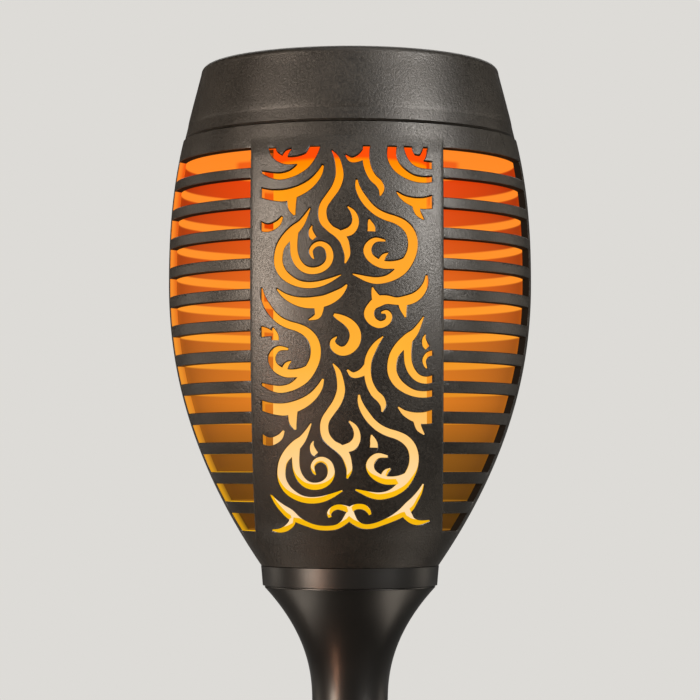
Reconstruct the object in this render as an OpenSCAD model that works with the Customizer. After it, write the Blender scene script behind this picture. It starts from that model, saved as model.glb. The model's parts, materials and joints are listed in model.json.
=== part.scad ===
// Solar garden torch: a pierced lantern with a solar cap, on a plug-together pole with a ground stake.
// The origin is on the pole's axis at ground level. +Z is up and the front panel faces -Y.

/* [Lantern cage] */
// Diameter of the cage at its widest ring
cage_d = 125; // [124:0.5:130]
// Height of the cage, from the neck seam to the cap seam
cage_h = 146; // [146:0.5:148]
// Height of the widest ring above the neck seam
belly_h = 97; // [90:1:102]
// Diameter of the cage where it meets the neck
cage_foot_d = 61.2; // [60.8:0.2:64]
// Diameter of the cage at the cap seam
cage_top_d = 115.2; // [114.8:0.2:116]
// Wall of the cage, measured level
cage_wall = 2.4; // [2:0.1:2.6]

/* [Slots and pierced panels] */
// Slots in each of the four bays
slot_count = 13; // [6:1:13]
// Height from one slot to the next
slot_pitch = 9.93; // [9.5:0.01:9.95]
// Open height of one slot
slot_h = 6; // [4:0.1:6.5]
// Height of the top edge of the highest slot
slot_top = 137.2; // [136.8:0.1:138]
// Half width of the front and back panels
panel_half_w = 31.5; // [30:0.5:33]
// How far the panels stand out from the slats
panel_rise = 0.7; // [0.4:0.1:0.9]
// Half width of the two side ribs
rib_half_w = 11; // [9:0.5:13]

/* [Cap] */
// Diameter of the cap at its seam
cap_foot_d = 114.4; // [114:0.2:114.8]
// Diameter of the cap at its top edge
cap_top_d = 101.8; // [100:0.2:104]
// Height of the cap above its seam
cap_h = 25.6; // [25.4:0.1:27]
// Diameter of the round solar window
solar_d = 92; // [92:0.5:93]
// Angle that the cap turns to lock
lock_angle = 20; // [18:1:22]

/* [Light source] */
// Columns of lights round the mast
led_columns = 8; // [6:1:10]
// Lights in each column
led_rows = 12; // [6:1:12]
// Outer diameter of the frosted tube round the mast
tube_d = 53; // [52.6:0.2:55]
// Outer diameter of the mast that carries the lights
mast_d = 37; // [34:0.5:37]

/* [Neck, poles and stake] */
// Height of the neck below the seam
neck_h = 46.5; // [45:0.5:60]
// Outer diameter of the pole sections
pole_d = 25.4; // [25:0.1:26]
// Visible length of one pole section
pole_len = 229; // [150:1:300]
// Length of each plug and socket
plug_len = 25; // [20:1:26]
// Length of the stake below ground
stake_len = 184; // [140:1:220]

/* [Hidden] */
$fn = 96;

pole_count = 3;
seam_z = pole_count * pole_len + neck_h;  // height of the neck seam above ground
gap = 0.3;                                // loose fit between pieces that pull apart

shell_black = "#3a3731";
pole_black = "#232323";

// ---- profiles -------------------------------------------------------------------------------

// Outer radius of the cage at height h above the neck seam
function cage_r(h) =
    h < belly_h
        ? cage_d / 2 - (cage_d - cage_foot_d) / 2 * pow((belly_h - h) / belly_h, 2.08)
        : cage_d / 2 - (cage_d - cage_top_d) / 2 * pow((h - belly_h) / (cage_h - belly_h), 2.4);

// Inner radius of the cage wall
function cage_in_r(h) = cage_r(h) - cage_wall;

// Outer radius of the neck's flare, from its foot to the step under the collar
neck_foot_r = 13;
flare_top = -7.5;
function neck_r(h) =
    neck_foot_r + (29.4 - neck_foot_r) * pow((h + neck_h) / (neck_h + flare_top), 2.2);

// Evenly spaced heights from a to b in n steps
function steps(a, b, n) = [for (i = [0:n]) a + (b - a) * i / n];

module at_seam() {
    translate([0, 0, seam_z]) children();
}

// A turned piece from [radius, height] points
module turned(points) {
    rotate_extrude() polygon(points);
}

// A ring between two heights
module ring(r_out, r_in, z0, z1) {
    translate([0, 0, z0]) difference() {
        cylinder(r = r_out, h = z1 - z0);
        translate([0, 0, -1]) cylinder(r = r_in, h = z1 - z0 + 2);
    }
}

// ---- ground stake and poles -----------------------------------------------------------------

pole_r = pole_d / 2;
socket_r = pole_r - 1.2;
plug_r = socket_r - gap;
plug_wall = 1.2;
edge = 0.4;       // small chamfer on cut ends
collar_h = 14;    // plain length of the stake's collar
fin_t = 2.6;
fin_shoulder = 62;

module ground_stake() {
    fin = [
        [-pole_r + 0.3, -collar_h + 1], [pole_r - 0.3, -collar_h + 1], [pole_r - 0.3, -fin_shoulder],
        [0.6, -stake_len], [-0.6, -stake_len], [-pole_r + 0.3, -fin_shoulder]
    ];
    color(pole_black) union() {
        turned([
            [0, -collar_h], [pole_r - 1, -collar_h], [pole_r, -collar_h + 1], [pole_r, 0],
            [plug_r, 0], [plug_r, plug_len - 1], [plug_r - 1, plug_len],
            [plug_r - plug_wall - 0.8, plug_len], [plug_r - plug_wall - 0.8, 2], [0, 2]
        ]);
        for (turn = [0, 90])
            rotate([0, 0, turn]) rotate([90, 0, 0])
                translate([0, 0, -fin_t / 2]) linear_extrude(height = fin_t) polygon(fin);
    }
}

// One pole section with its socket at the bottom and its reduced plug at the top
module pole_section(index) {
    color(pole_black) translate([0, 0, index * pole_len]) turned([
        [socket_r, 0], [pole_r - edge, 0], [pole_r, edge], [pole_r, pole_len - edge],
        [pole_r - edge, pole_len], [plug_r, pole_len], [plug_r, pole_len + plug_len - 1],
        [plug_r - 0.6, pole_len + plug_len], [plug_r - plug_wall, pole_len + plug_len],
        [plug_r - plug_wall, pole_len - 4], [socket_r, pole_len - 7]
    ]);
}

module lower_pole() {
    pole_section(0);
}

module middle_pole() {
    pole_section(1);
}

module upper_pole() {
    pole_section(2);
}

// ---- neck -----------------------------------------------------------------------------------

spigot_r = 21.9;
spigot_h = 10;
spigot_wall = 2;
neck_wall = 3;
collar_r = 30.6;

module neck() {
    cavity_foot = -neck_h + plug_len + 3;
    color(pole_black) at_seam() turned(concat(
        [[socket_r, -neck_h]],
        [for (h = steps(-neck_h, flare_top, 14)) [neck_r(h), h]],
        [[30, flare_top + 0.6], [collar_r, -0.5], [collar_r - 0.4, 0], [spigot_r, 0],
         [spigot_r, spigot_h - 0.6], [spigot_r - 0.6, spigot_h],
         [spigot_r - spigot_wall, spigot_h], [spigot_r - spigot_wall, -2.4],
         [collar_r - neck_wall, -2.4], [collar_r - neck_wall, flare_top + 0.5]],
        [for (h = steps(flare_top, cavity_foot + 1, 5)) [neck_r(h) - neck_wall, h]],
        [[socket_r, cavity_foot]]
    ));
}

// ---- cage -----------------------------------------------------------------------------------

floor_t = 3;
socket_wall = 2.4;
socket_h = 12;
rim_gap = 0.4;                      // hairline between the cage and the cap
rim_z = cage_h - rim_gap;
ledge_r = 50.5;                     // inner radius of the bayonet ledge
ledge_top = cage_h - 2;
ledge_foot = cage_h - 4;
panel_foot = 8;
panel_head = cage_h - 4.5;
lug_count = 3;

function cage_socket_r() = spigot_r + gap;

module cage_shell() {
    turned(concat(
        [for (h = steps(0, rim_z, 30)) [cage_r(h), h]],
        [[cage_in_r(cage_h), rim_z], [cage_in_r(cage_h), ledge_top], [ledge_r, ledge_top],
         [ledge_r, ledge_foot]],
        [for (h = steps(ledge_foot, floor_t, 28)) [cage_in_r(h), h]],
        [[cage_socket_r() + socket_wall, floor_t], [cage_socket_r() + socket_wall, socket_h],
         [cage_socket_r(), socket_h], [cage_socket_r(), 0]]
    ));
}

// The raised skins of the front and back panels
module cage_panels() {
    intersection() {
        turned(concat(
            [for (h = steps(panel_foot, panel_head, 28)) [cage_r(h) + panel_rise, h]],
            [for (h = steps(panel_head, panel_foot, 28)) [cage_r(h) - cage_wall / 2, h]]
        ));
        translate([-panel_half_w, -cage_d, panel_foot - 1])
            cube([2 * panel_half_w, 2 * cage_d, panel_head - panel_foot + 2]);
    }
}

// The slots of the two bays beside one panel, seen from its front
module slot_outlines() {
    slot_reach = cage_d / 2;
    for (i = [0:slot_count - 1], x = [panel_half_w, -panel_half_w - slot_reach])
        translate([x, slot_top - i * slot_pitch - slot_h]) square([slot_reach, slot_h]);
}

// Cuts an outline straight through one wall of the cage, from in front of it
module cut_through_front() {
    translate([0, -rib_half_w, 0]) rotate([90, 0, 0])
        linear_extrude(height = cage_d) children();
}

// Entry notches in the bayonet ledge
lug_w = 13;
lug_r = 53.2;
module ledge_notches() {
    notch_w = lug_w + 4;
    for (i = [0:lug_count - 1])
        rotate([0, 0, i * 360 / lug_count])
            translate([ledge_r - 2, -notch_w / 2, ledge_foot - 1])
                cube([lug_r + 0.4 - ledge_r + 2, notch_w, 4]);
}

// Stops under the ledge that end the twist
module twist_stops() {
    stop_turn = lock_angle + asin(lug_w / 2 / lug_r) + 3;
    for (i = [0:lug_count - 1])
        rotate([0, 0, i * 360 / lug_count - stop_turn])
            translate([ledge_r + 0.5, -1.2, ledge_foot - 2.4])
                cube([cage_in_r(ledge_foot) - ledge_r + 0.2, 2.4, 2.5]);
}

module cage() {
    color(shell_black) at_seam() difference() {
        union() {
            cage_shell();
            cage_panels();
            twist_stops();
        }
        for (turn = [0, 180])
            rotate([0, 0, turn]) cut_through_front() {
                slot_outlines();
                scroll_outlines();
            }
        ledge_notches();
    }
}

// ---- scrollwork -----------------------------------------------------------------------------
// Each stroke is a list of [across, up, width] along its centre line, on the unrolled panel.

flame = [
    [[-5.9, 136, 0.3], [-4.3, 133.5, 1.6], [-3.5, 130.2, 2.2], [-3.4, 127, 2.7], [-4.6, 123.6, 2.8],
     [-6.6, 120.7, 2.7], [-8.4, 118, 2.7], [-8.9, 115.4, 2.7], [-8.3, 112.6, 2.7], [-6.2, 110.2, 2.4],
     [-3.9, 108.7, 2.8], [-2, 106.6, 2.8], [-1.1, 103.9, 2.3], [-0.8, 101.6, 1.8], [-1.5, 99, 0.5]],
    [[-3.6, 108.3, 2.4], [-1.4, 108.9, 2.7], [0.3, 109.6, 2.9], [1.6, 111.4, 2.5], [1.8, 113.6, 2],
     [1, 115.7, 1.5], [-0.7, 117.5, 0.5]]
];
drop = [
    [[-12.9, 117.1, 0.4], [-14.2, 114.7, 1.3], [-15.9, 112.1, 2.4], [-18.1, 110.1, 3.4],
     [-20.8, 107.6, 3.4], [-22.9, 104.8, 3], [-23.7, 101.6, 3], [-23.5, 98.7, 3], [-22, 96, 2.9],
     [-19.6, 94, 2.6], [-16.6, 92.6, 2.2], [-13.4, 92.1, 2.1], [-10, 92.4, 2], [-6.6, 93.5, 1.5],
     [-2.8, 95.3, 0.4]],
    [[-17.6, 110.4, 2], [-18.3, 107.6, 2.6], [-18.4, 104.6, 2.5], [-18.1, 102, 2.5], [-17, 99.5, 2.5],
     [-15, 97.5, 2.4], [-12.3, 96.7, 2.3], [-9.4, 97.2, 2.3], [-7.2, 98.9, 2.3], [-6.4, 101.4, 2.3],
     [-7.2, 104.1, 2.1], [-9.3, 105.4, 1.8], [-11.4, 104.9, 1.6], [-12.6, 103.2, 1.3],
     [-12.2, 101.4, 0.9], [-11.6, 100.5, 0.4]],
    [[-12.2, 111.4, 0.3], [-12.7, 110, 1.2], [-12.3, 108.2, 2], [-11.4, 107.1, 1.8]]
];
hook = [
    [[2.2, 126.3, 0.6], [2.4, 124.4, 1.3], [3.2, 122.2, 1.9], [4.7, 119.7, 2.3], [6.6, 117.4, 2.3],
     [9, 115.5, 2.4], [11.8, 114.2, 2.5], [14.8, 113.3, 2.6], [17.6, 111.9, 2.9], [19.8, 109.6, 3.1],
     [20.8, 106.5, 3.3], [20.5, 103.1, 3.4], [19, 99.9, 3.6], [16.9, 97.2, 3.6], [14.4, 95.2, 2.9],
     [11.8, 94, 2.4], [8.6, 93.5, 2.3], [5.6, 94, 1.9], [3.2, 94.8, 1.2], [0.9, 95.6, 0.4]],
    [[18.6, 99.6, 3.4], [16.4, 98.9, 3], [13.6, 98.6, 2.6], [10.8, 98.7, 2.7], [8.2, 99.7, 2.6],
     [6.3, 101.4, 2.5], [5.7, 103.6, 2.6], [6.7, 105.6, 2.2], [8.6, 106.7, 1.6], [11.6, 106.4, 0.7]],
    [[10, 99.6, 2], [11, 101.4, 1.6], [12.5, 102.5, 0.4]],
    [[6.2, 113.4, 0.4], [6.6, 112, 1.7], [7, 110.6, 2.4], [7, 109.3, 2.6]]
];
smile = [
    [[-24.2, 91.1, 0.4], [-21.6, 88.9, 1.6], [-18.3, 87.3, 2.6], [-14.8, 86.5, 3.4], [-11.2, 86.5, 3.8],
     [-7.8, 87.1, 3.7], [-4.6, 88.6, 3.2], [-2.3, 90.4, 1.9], [-0.9, 92.2, 0.6]],
    [[-10, 86, 3.6], [-10, 83.8, 2.8], [-10.7, 82, 2], [-13.4, 80.9, 0.4]]
];
curl = [
    [[25.6, 95.6, 0.7], [25.3, 93, 1.8], [23.9, 90.4, 2.6], [21.6, 88.4, 3.1], [18.6, 87.3, 3.2],
     [15.2, 87, 2.5], [12, 87.4, 2.9], [9.4, 86.9, 3.6], [7.2, 85.3, 3], [6.2, 82.9, 3.3],
     [7.2, 80.6, 2.8], [9.6, 79.4, 2.4], [12, 80.2, 2.1], [12.8, 82, 2], [11.9, 83.4, 1.5],
     [10.2, 83.2, 0.7]],
    [[7.3, 91.4, 0.4], [7.8, 89.6, 1.7], [8.8, 87.6, 3], [10.4, 86.6, 2]],
    [[17.3, 87, 3.2], [17.5, 84.8, 2.4], [18.3, 81.8, 0.5]]
];
comma = [
    [[-5.2, 82.6, 0.9], [-3.6, 81.8, 2], [-1, 80.4, 2.8], [1, 78.4, 3.3], [1.8, 75.9, 3.7],
     [1.2, 73.3, 3.8], [-0.7, 71.3, 3.3], [-3, 70.9, 2.9], [-5, 72.2, 2.5], [-5.5, 74, 1.6],
     [-4.2, 75.5, 0.4]]
];
fork = [
    [[10.8, 75.6, 0.4], [8.9, 73.6, 1.5], [7.3, 71.2, 2.2], [6.1, 68.5, 2.3], [5.7, 65.8, 2.2],
     [5.8, 62.9, 2.2], [6.5, 60.1, 2.3], [8, 57.4, 2.5], [9.9, 55.6, 2.5], [10.8, 53.6, 1.9],
     [10.4, 51.4, 0.4]],
    [[6.1, 67.6, 1.6], [4.8, 64.8, 2.6], [2.8, 63.5, 2.2], [0.8, 63.3, 1.7], [-0.9, 64.9, 0.5]]
];
swoop = [
    [[-8.7, 62.2, 0.7], [-9.8, 59.6, 1.9], [-11.8, 57, 2.6], [-14.6, 54.9, 3.2], [-18, 53.4, 3.6],
     [-21.6, 52.5, 4], [-25.4, 52.7, 3.6], [-28.4, 53.3, 3.3], [-32, 54.4, 3]],
    [[-18.9, 53, 3.4], [-19.1, 50, 3], [-18.9, 48, 2.4], [-18.1, 45.9, 0.6]]
];
tail = [
    [[-22.3, 45.4, 0.7], [-23.8, 43.3, 2], [-26.5, 42, 2.5], [-29, 42.1, 2.8], [-32, 43.6, 3]]
];
wing = [
    [[15.3, 122.4, 0.4], [17.4, 120.6, 1.7], [20.2, 119.4, 2.8], [23.2, 118.9, 3.6], [26, 119.1, 4],
     [30, 120, 4.6]],
    [[21.9, 118.6, 3], [22.3, 116.4, 2.2], [23, 115.2, 1.8], [24.6, 113.6, 0.4]]
];
chip = [
    [[-32, 77.4, 4], [-29.5, 77.4, 3.4], [-27, 77, 2.3], [-23.9, 76, 0.4]]
];
crest = [
    [[18.8, 139, 2.6], [19.6, 135.6, 2.6], [21.4, 132.9, 2.8], [24.2, 131.7, 2.6], [30, 131.5, 2.4]],
    [[20.6, 134, 2], [23.6, 133.6, 2.4], [25, 136, 1.8], [25.6, 139, 1.6]]
];
border = [
    [[-28.2, 24.5, 0.4], [-26.2, 22.1, 1.6], [-23.8, 20, 2.6], [-20.9, 18, 3.4], [-17.8, 16.1, 2.1],
     [-14.6, 14.7, 1.5], [-11.2, 13.7, 1.5], [-7.8, 13.5, 1.5], [-4.9, 13.9, 1.5], [-2.8, 15.1, 1.7],
     [-1.2, 16.8, 2.4], [0, 19, 2.4]],
    [[-28.7, 12.6, 0.4], [-25.6, 12.5, 1.3], [-22.6, 13.4, 2], [-20.4, 15.3, 2.4], [-20.2, 17.4, 2.4]],
    [[0.4, 19.2, 2.2], [-2.3, 20.2, 1.9], [-4.4, 20.5, 1.6], [-6.3, 19.7, 1.5], [-7.2, 18.3, 1.4],
     [-6.9, 17.1, 1]],
    [[-0.6, 19.2, 2.2], [0.9, 20.3, 1.8], [2.6, 20.7, 1.7], [4.5, 20.4, 1.7], [5.8, 19.3, 1.4],
     [6.4, 18, 0.8]],
    [[-0.2, 19, 2.2], [0.2, 17, 2.8], [1.8, 15.2, 1.9], [4.2, 14.1, 1.5], [7.2, 14.2, 1.6],
     [10.4, 15.2, 1.6], [13.8, 16.6, 2], [17, 18.3, 2.8], [19.9, 20.4, 3.6], [22.2, 23, 2.6],
     [24, 25.5, 1.7], [25.2, 28, 0.5]],
    [[18, 19.2, 2.8], [19.6, 17.6, 3.2], [21.4, 15.9, 2.2], [24.2, 15.2, 1.5], [28.5, 15.8, 0.4]]
];

// Each placement is [strokes, shift across, shift up]
scroll_repeat = 69.1;
half_drop = scroll_repeat / 2;
scroll_places = [
    [flame, 0, 0], [flame, 0.4, -scroll_repeat], [drop, 0, 0], [drop, 0.1, -scroll_repeat - 0.3],
    [hook, 0, 0], [hook, 0.7, -scroll_repeat - 0.3], [smile, 0, 0], [curl, 0, 0], [comma, 0, 0],
    [fork, 0, 0], [fork, -0.5, scroll_repeat + 0.4], [swoop, 0, -0.2], [swoop, 0, scroll_repeat - 0.2],
    [tail, 0, 0], [tail, 0, scroll_repeat], [wing, 0, 0], [wing, 0.5, -scroll_repeat - 0.3],
    [chip, 0, 0], [hook, -31.9, half_drop - 0.3], [hook, -31.9, -half_drop - 0.2],
    [[drop[0]], 37.4, half_drop], [crest, 0, 0], [drop, 37.4, -half_drop - 0.4], [border, 0, 0]
];
scroll_shift = 1.1;   // the scrollwork's own zero line lies this far left of the panel's middle
window_half_w = 27.7;
window_head = 137.4;
window_foot = 11;
curve_steps = 2;      // pieces of curve between two points of a stroke

// A smooth curve from b to c, with a before and d after them
function blend(a, b, c, d, t) =
    (2 * b + (c - a) * t + (2 * a - 5 * b + 4 * c - d) * t * t + (3 * b - 3 * c + d - a) * t * t * t) / 2;

function smooth(p) =
    let (n = len(p), q = concat([2 * p[0] - p[1]], p, [2 * p[n - 1] - p[n - 2]]))
        concat(
            [for (i = [1:n - 1], j = [0:curve_steps - 1])
                blend(q[i - 1], q[i], q[i + 1], q[i + 2], j / curve_steps)],
            [p[n - 1]]
        );

// A point on one side of a stroke's centre line
function side_point(c, i, side) =
    let (a = c[max(i - 1, 0)], b = c[min(i + 1, len(c) - 1)], d = [b[0] - a[0], b[1] - a[1]])
        [c[i][0] - side * d[1] / norm(d) * c[i][2] / 2, c[i][1] + side * d[0] / norm(d) * c[i][2] / 2];

function stroke_outline(stroke) =
    let (c = smooth(stroke), last = len(c) - 1)
        concat([for (i = [0:last]) side_point(c, i, 1)], [for (i = [last:-1:0]) side_point(c, i, -1)]);

// Where a point of the unrolled panel lies as seen from the front
function seen_from_front(p) =
    let (r = cage_r(p[1]) + panel_rise, x = p[0] + scroll_shift)
        [r * sin(x / r * 180 / PI), p[1]];

module scroll_outlines() {
    for (place = scroll_places, stroke = place[0])
        intersection() {
            polygon([
                for (p = stroke_outline(stroke)) seen_from_front([p[0] + place[1], p[1] + place[2]])
            ]);
            translate([-window_half_w, window_foot])
                square([2 * window_half_w, window_head - window_foot]);
        }
}

// ---- tube and liner -------------------------------------------------------------------------

tube_r = tube_d / 2;
tube_wall = 1.2;
tube_top = cage_h - 2;

module light_tube() {
    color("#fff0d8") at_seam() turned([
        [tube_r - tube_wall, floor_t], [tube_r, floor_t], [tube_r, tube_top - 0.4],
        [tube_r - 0.4, tube_top], [tube_r - tube_wall, tube_top]
    ]);
}

liner_wall = 0.8;
liner_foot = 4;
liner_top = cage_h - 8;
liner_window_half = window_half_w + 0.5;

// Two side sheets that leave the front and back windows free
module flame_liner() {
    function out_r(h) = cage_in_r(h) - gap;
    color("#ff9a30") at_seam() difference() {
        turned(concat(
            [for (h = steps(liner_foot, liner_top, 26)) [out_r(h), h]],
            [for (h = steps(liner_top, liner_foot, 26)) [out_r(h) - liner_wall, h]]
        ));
        translate([-liner_window_half, -cage_d, 0]) cube([2 * liner_window_half, 2 * cage_d, cage_h]);
    }
}

// ---- cap ------------------------------------------------------------------------------------

cap_wall = 2.4;
cap_top = cage_h + cap_h;
panel_recess = 2.8;
plate_t = 1.8;
recess_z = cap_top - panel_recess;
plate_z = recess_z - plate_t;
solar_r = solar_d / 2;
lid_t = 1.6;                        // floor of the control housing
lid_z = cage_h + lid_t;
boss_reach = 43;                    // radius of the circle of screw bosses
boss_r = 3.4;
boss_angles = [45, 135, 225, 315];
lead_hole = [-6, 20];

// Outer radius of the cap at height h above the neck seam
function cap_r(h) = (cap_foot_d + (cap_top_d - cap_foot_d) * (h - cage_h) / cap_h) / 2;

// Points of the rounded top edge, from its side to its top
corner_r = 2.4;
function cap_corner() = [
    for (a = steps(8, 90, 6))
        [cap_r(cap_top - corner_r) - corner_r + corner_r * cos(a), cap_top - corner_r + corner_r * sin(a)]
];

module cap_seal() {
    color("#6f6f6c") at_seam() ring(55, ledge_r + 0.8, ledge_top, cage_h);
}

module top_cap() {
    color(shell_black) at_seam() difference() {
        union() {
            turned(concat(
                [[cap_foot_d / 2 - cap_wall, cage_h], [cap_foot_d / 2 - 0.4, cage_h],
                 [cap_r(cage_h + 0.4), cage_h + 0.4]],
                cap_corner(),
                [[solar_r, cap_top], [solar_r, recess_z], [0, recess_z], [0, plate_z],
                 [cap_r(plate_z) - cap_wall, plate_z]]
            ));
            for (a = boss_angles)
                rotate([0, 0, a]) translate([boss_reach, 0, lid_z])
                    cylinder(r = boss_r, h = plate_z - lid_z + 0.2);
        }
        for (a = boss_angles)
            rotate([0, 0, a]) translate([boss_reach, 0, lid_z - 1]) cylinder(r = 1.35, h = 12);
        translate([lead_hole[0], lead_hole[1], plate_z - 1]) cylinder(r = 2.4, h = plate_t + 2);
    }
}

cover_t = 1.2;
cover_z = cap_top - 0.2 - cover_t;
backing_t = 0.9;
cell_t = 0.4;

module solar_cover() {
    color("#20262e", 0.6) at_seam() translate([0, 0, cover_z]) cylinder(r = solar_r - gap, h = cover_t);
}

module solar_cells() {
    cell_w = 10.4;
    cell_l = 58;
    color("#16213d") at_seam()
        for (i = [0:5])
            translate([(i - 2.5) * 11 - cell_w / 2, -cell_l / 2, recess_z + backing_t])
                cube([cell_w, cell_l, cell_t]);
}

module solar_backing() {
    color("#e8e8e4") at_seam() translate([0, 0, recess_z]) difference() {
        cylinder(r = solar_r - 0.6, h = backing_t);
        translate([lead_hole[0], lead_hole[1], -1]) cylinder(r = 1.8, h = backing_t + 2);
    }
}

// ---- control housing with the bayonet skirt -------------------------------------------------

skirt_r = ledge_r - gap;
skirt_wall = 2;
skirt_foot = cage_h - 7.6;
lug_h = 3;
mast_r = mast_d / 2;
battery_r = 9.15;
battery_len = 65.2;
battery_y = -16;
battery_z = lid_z + battery_r + 0.4;
button_pos = [0, 32];
button_r = 4.5;
board_z = cage_h + 10;
board_size = [44, 28, 1.6];
board_y = 12;
post_spots = [[-18, 15], [18, 15], [-18, 37], [18, 37]];

module bayonet_lugs() {
    for (i = [0:lug_count - 1])
        rotate([0, 0, i * 360 / lug_count])
            intersection() {
                translate([skirt_r - 1, -lug_w / 2, skirt_foot]) cube([6, lug_w, lug_h]);
                translate([0, 0, skirt_foot - 1]) cylinder(r = lug_r, h = lug_h + 2);
            }
}

module battery_saddles() {
    for (x = [-22, 22])
        difference() {
            translate([x - 1.5, battery_y - 8, lid_z - 0.1]) cube([3, 16, 7]);
            translate([x - 3, battery_y, battery_z]) rotate([0, 90, 0])
                cylinder(r = battery_r + 0.05, h = 6);
        }
}

module control_housing() {
    color("#2c2a27") at_seam() difference() {
        union() {
            translate([0, 0, cage_h]) cylinder(r = cap_foot_d / 2 - cap_wall - 0.3, h = lid_t);
            ring(skirt_r, skirt_r - skirt_wall, skirt_foot, cage_h + 0.1);
            ring(mast_r + 2.4, mast_r + 0.1, cage_h - 6, cage_h + 0.1);
            bayonet_lugs();
            battery_saddles();
            for (p = post_spots)
                translate([p[0], p[1], lid_z - 0.1]) cylinder(r = 2.6, h = board_z - lid_z + 0.1);
        }
        translate([button_pos[0], button_pos[1], cage_h - 1]) cylinder(r = button_r + 0.3, h = 4);
        translate([0, 8, cage_h - 1]) cylinder(r = 3, h = 4);
        for (a = boss_angles)
            rotate([0, 0, a]) translate([boss_reach, 0, cage_h - 1]) cylinder(r = 1.7, h = 4);
        for (p = post_spots)
            translate([p[0], p[1], board_z - 6]) cylinder(r = 1.05, h = 7);
    }
}

// A pan-head screw with a cross recess, its head's seat at z = 0 and its shank going up
module pan_screw(shank_r, shank_l, head_r, head_h) {
    difference() {
        union() {
            cylinder(r = shank_r, h = shank_l);
            translate([0, 0, -head_h]) cylinder(r1 = head_r - 0.5, r2 = head_r, h = head_h);
        }
        for (turn = [0, 90])
            rotate([0, 0, turn]) translate([-head_r * 0.6, -0.3, -head_h - 1])
                cube([head_r * 1.2, 0.6, 1.6]);
    }
}

module housing_screws() {
    color("#9a9a98") at_seam()
        for (a = boss_angles)
            rotate([0, 0, a]) translate([boss_reach, 0, cage_h]) pan_screw(1.3, 11, 2.8, 1.6);
}

// ---- electrics ------------------------------------------------------------------------------

module battery_cell() {
    color("#3d6fa8") at_seam() translate([-battery_len / 2, battery_y, battery_z]) rotate([0, 90, 0]) {
        cylinder(r = battery_r, h = battery_len - 1.2);
        translate([0, 0, battery_len - 1.3]) cylinder(r = 3, h = 1.3);
    }
}

module battery_contacts() {
    tab = [0.3, 8, 10];
    color("#c9c9c4") at_seam()
        for (x = [-battery_len / 2 - tab[0], battery_len / 2])
            translate([x, battery_y - tab[1] / 2, battery_z - tab[2] / 2]) cube(tab);
}

module control_board() {
    color("#1f5a34") at_seam() difference() {
        translate([-board_size[0] / 2, board_y, board_z]) cube(board_size);
        for (p = post_spots)
            translate([p[0], p[1], board_z - 1]) cylinder(r = 1.2, h = 4);
    }
}

module board_parts() {
    top = board_z + board_size[2];
    color("#1b1b1b") at_seam() translate([0, 0, top]) {
        translate([-3, 27, 0]) cylinder(r = 3.5, h = 5);
        translate([8, 25, 0]) cylinder(r = 2.5, h = 7);
        translate([6, 32, 0]) cube([6, 5, 1.4]);
        translate([-13, 30, 0]) cube([5, 4, 1.4]);
        for (i = [0:4])
            translate([-14 + i * 3.2, 22, 0]) cube([1.6, 0.9, 0.6]);
    }
}

module board_screws() {
    top = board_z + board_size[2];
    color("#9a9a98") at_seam()
        for (p = post_spots)
            translate([p[0], p[1], top]) mirror([0, 0, 1]) pan_screw(1, 6, 2, 1.2);
}

plunger_r = 1.6;
switch_z = board_z - 5;

module switch_body() {
    color("#d8d8d2") at_seam() difference() {
        translate([button_pos[0] - 4, button_pos[1] - 4, switch_z]) cube([8, 8, 5]);
        translate([button_pos[0], button_pos[1], switch_z - 1]) cylinder(r = plunger_r + 0.3, h = 5.4);
    }
}

button_top = cage_h + 3.1;

module push_button() {
    color("#8c2f22") at_seam() translate([button_pos[0], button_pos[1], 0]) {
        turned([
            [0, cage_h - 3], [button_r - 1, cage_h - 3], [button_r, cage_h - 2.2], [button_r, lid_z],
            [button_r + 1.4, lid_z], [button_r + 1.4, lid_z + 1], [button_r, lid_z + 1],
            [button_r, button_top], [0, button_top]
        ]);
    }
}

module switch_plunger() {
    color("#efefe8") at_seam() translate([button_pos[0], button_pos[1], button_top])
        cylinder(r = plunger_r, h = 3.6);
}

// A lead through the given points
module lead(points, r) {
    for (i = [0:len(points) - 2])
        hull() {
            translate(points[i]) sphere(r, $fn = 12);
            translate(points[i + 1]) sphere(r, $fn = 12);
        }
}

lead_r = 0.6;

module panel_leads() {
    top = board_z + board_size[2] + lead_r;
    color("#7a1f1f") at_seam()
        for (x = [-0.8, 0.8])
            lead([
                [lead_hole[0] + x, lead_hole[1], recess_z - lead_r],
                [lead_hole[0] + x, lead_hole[1], top + 3],
                [lead_hole[0] + x, lead_hole[1] - 2, top]
            ], lead_r);
}

module battery_leads() {
    reach = battery_len / 2 + 0.3 + lead_r;
    top = board_z + board_size[2] + lead_r;
    color("#8a2020") at_seam()
        for (side = [-1, 1])
            lead([
                [side * reach, battery_y, battery_z], [side * (reach + 2), battery_y + 6, battery_z + 3],
                [side * (reach - 2), 4, top + 1], [side * 21, 16, top + 1], [side * 19.5, 22, top]
            ], lead_r);
}

module led_leads() {
    color("#a07a28") at_seam()
        for (x = [-0.9, 0.9])
            lead([
                [x, 13.5, board_z - lead_r], [x, 10, board_z - 4], [x, 8, cage_h],
                [x, mast_r - 4, cage_h - 8], [x, mast_r - 3, cage_h - 12]
            ], lead_r);
}

// ---- light mast -----------------------------------------------------------------------------

mast_foot = 20;
mast_wall = 2;
row_pitch = 9;
board_foot = 26;
flex_t = 0.5;

module led_mast() {
    color("#dcdcd6") at_seam() ring(mast_r, mast_r - mast_wall, mast_foot, cage_h);
}

module led_board() {
    board_top = board_foot + led_rows * row_pitch + 2;
    color("#f2f2ee") at_seam() ring(mast_r + 0.05 + flex_t, mast_r + 0.05, board_foot, board_top);
}

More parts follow.
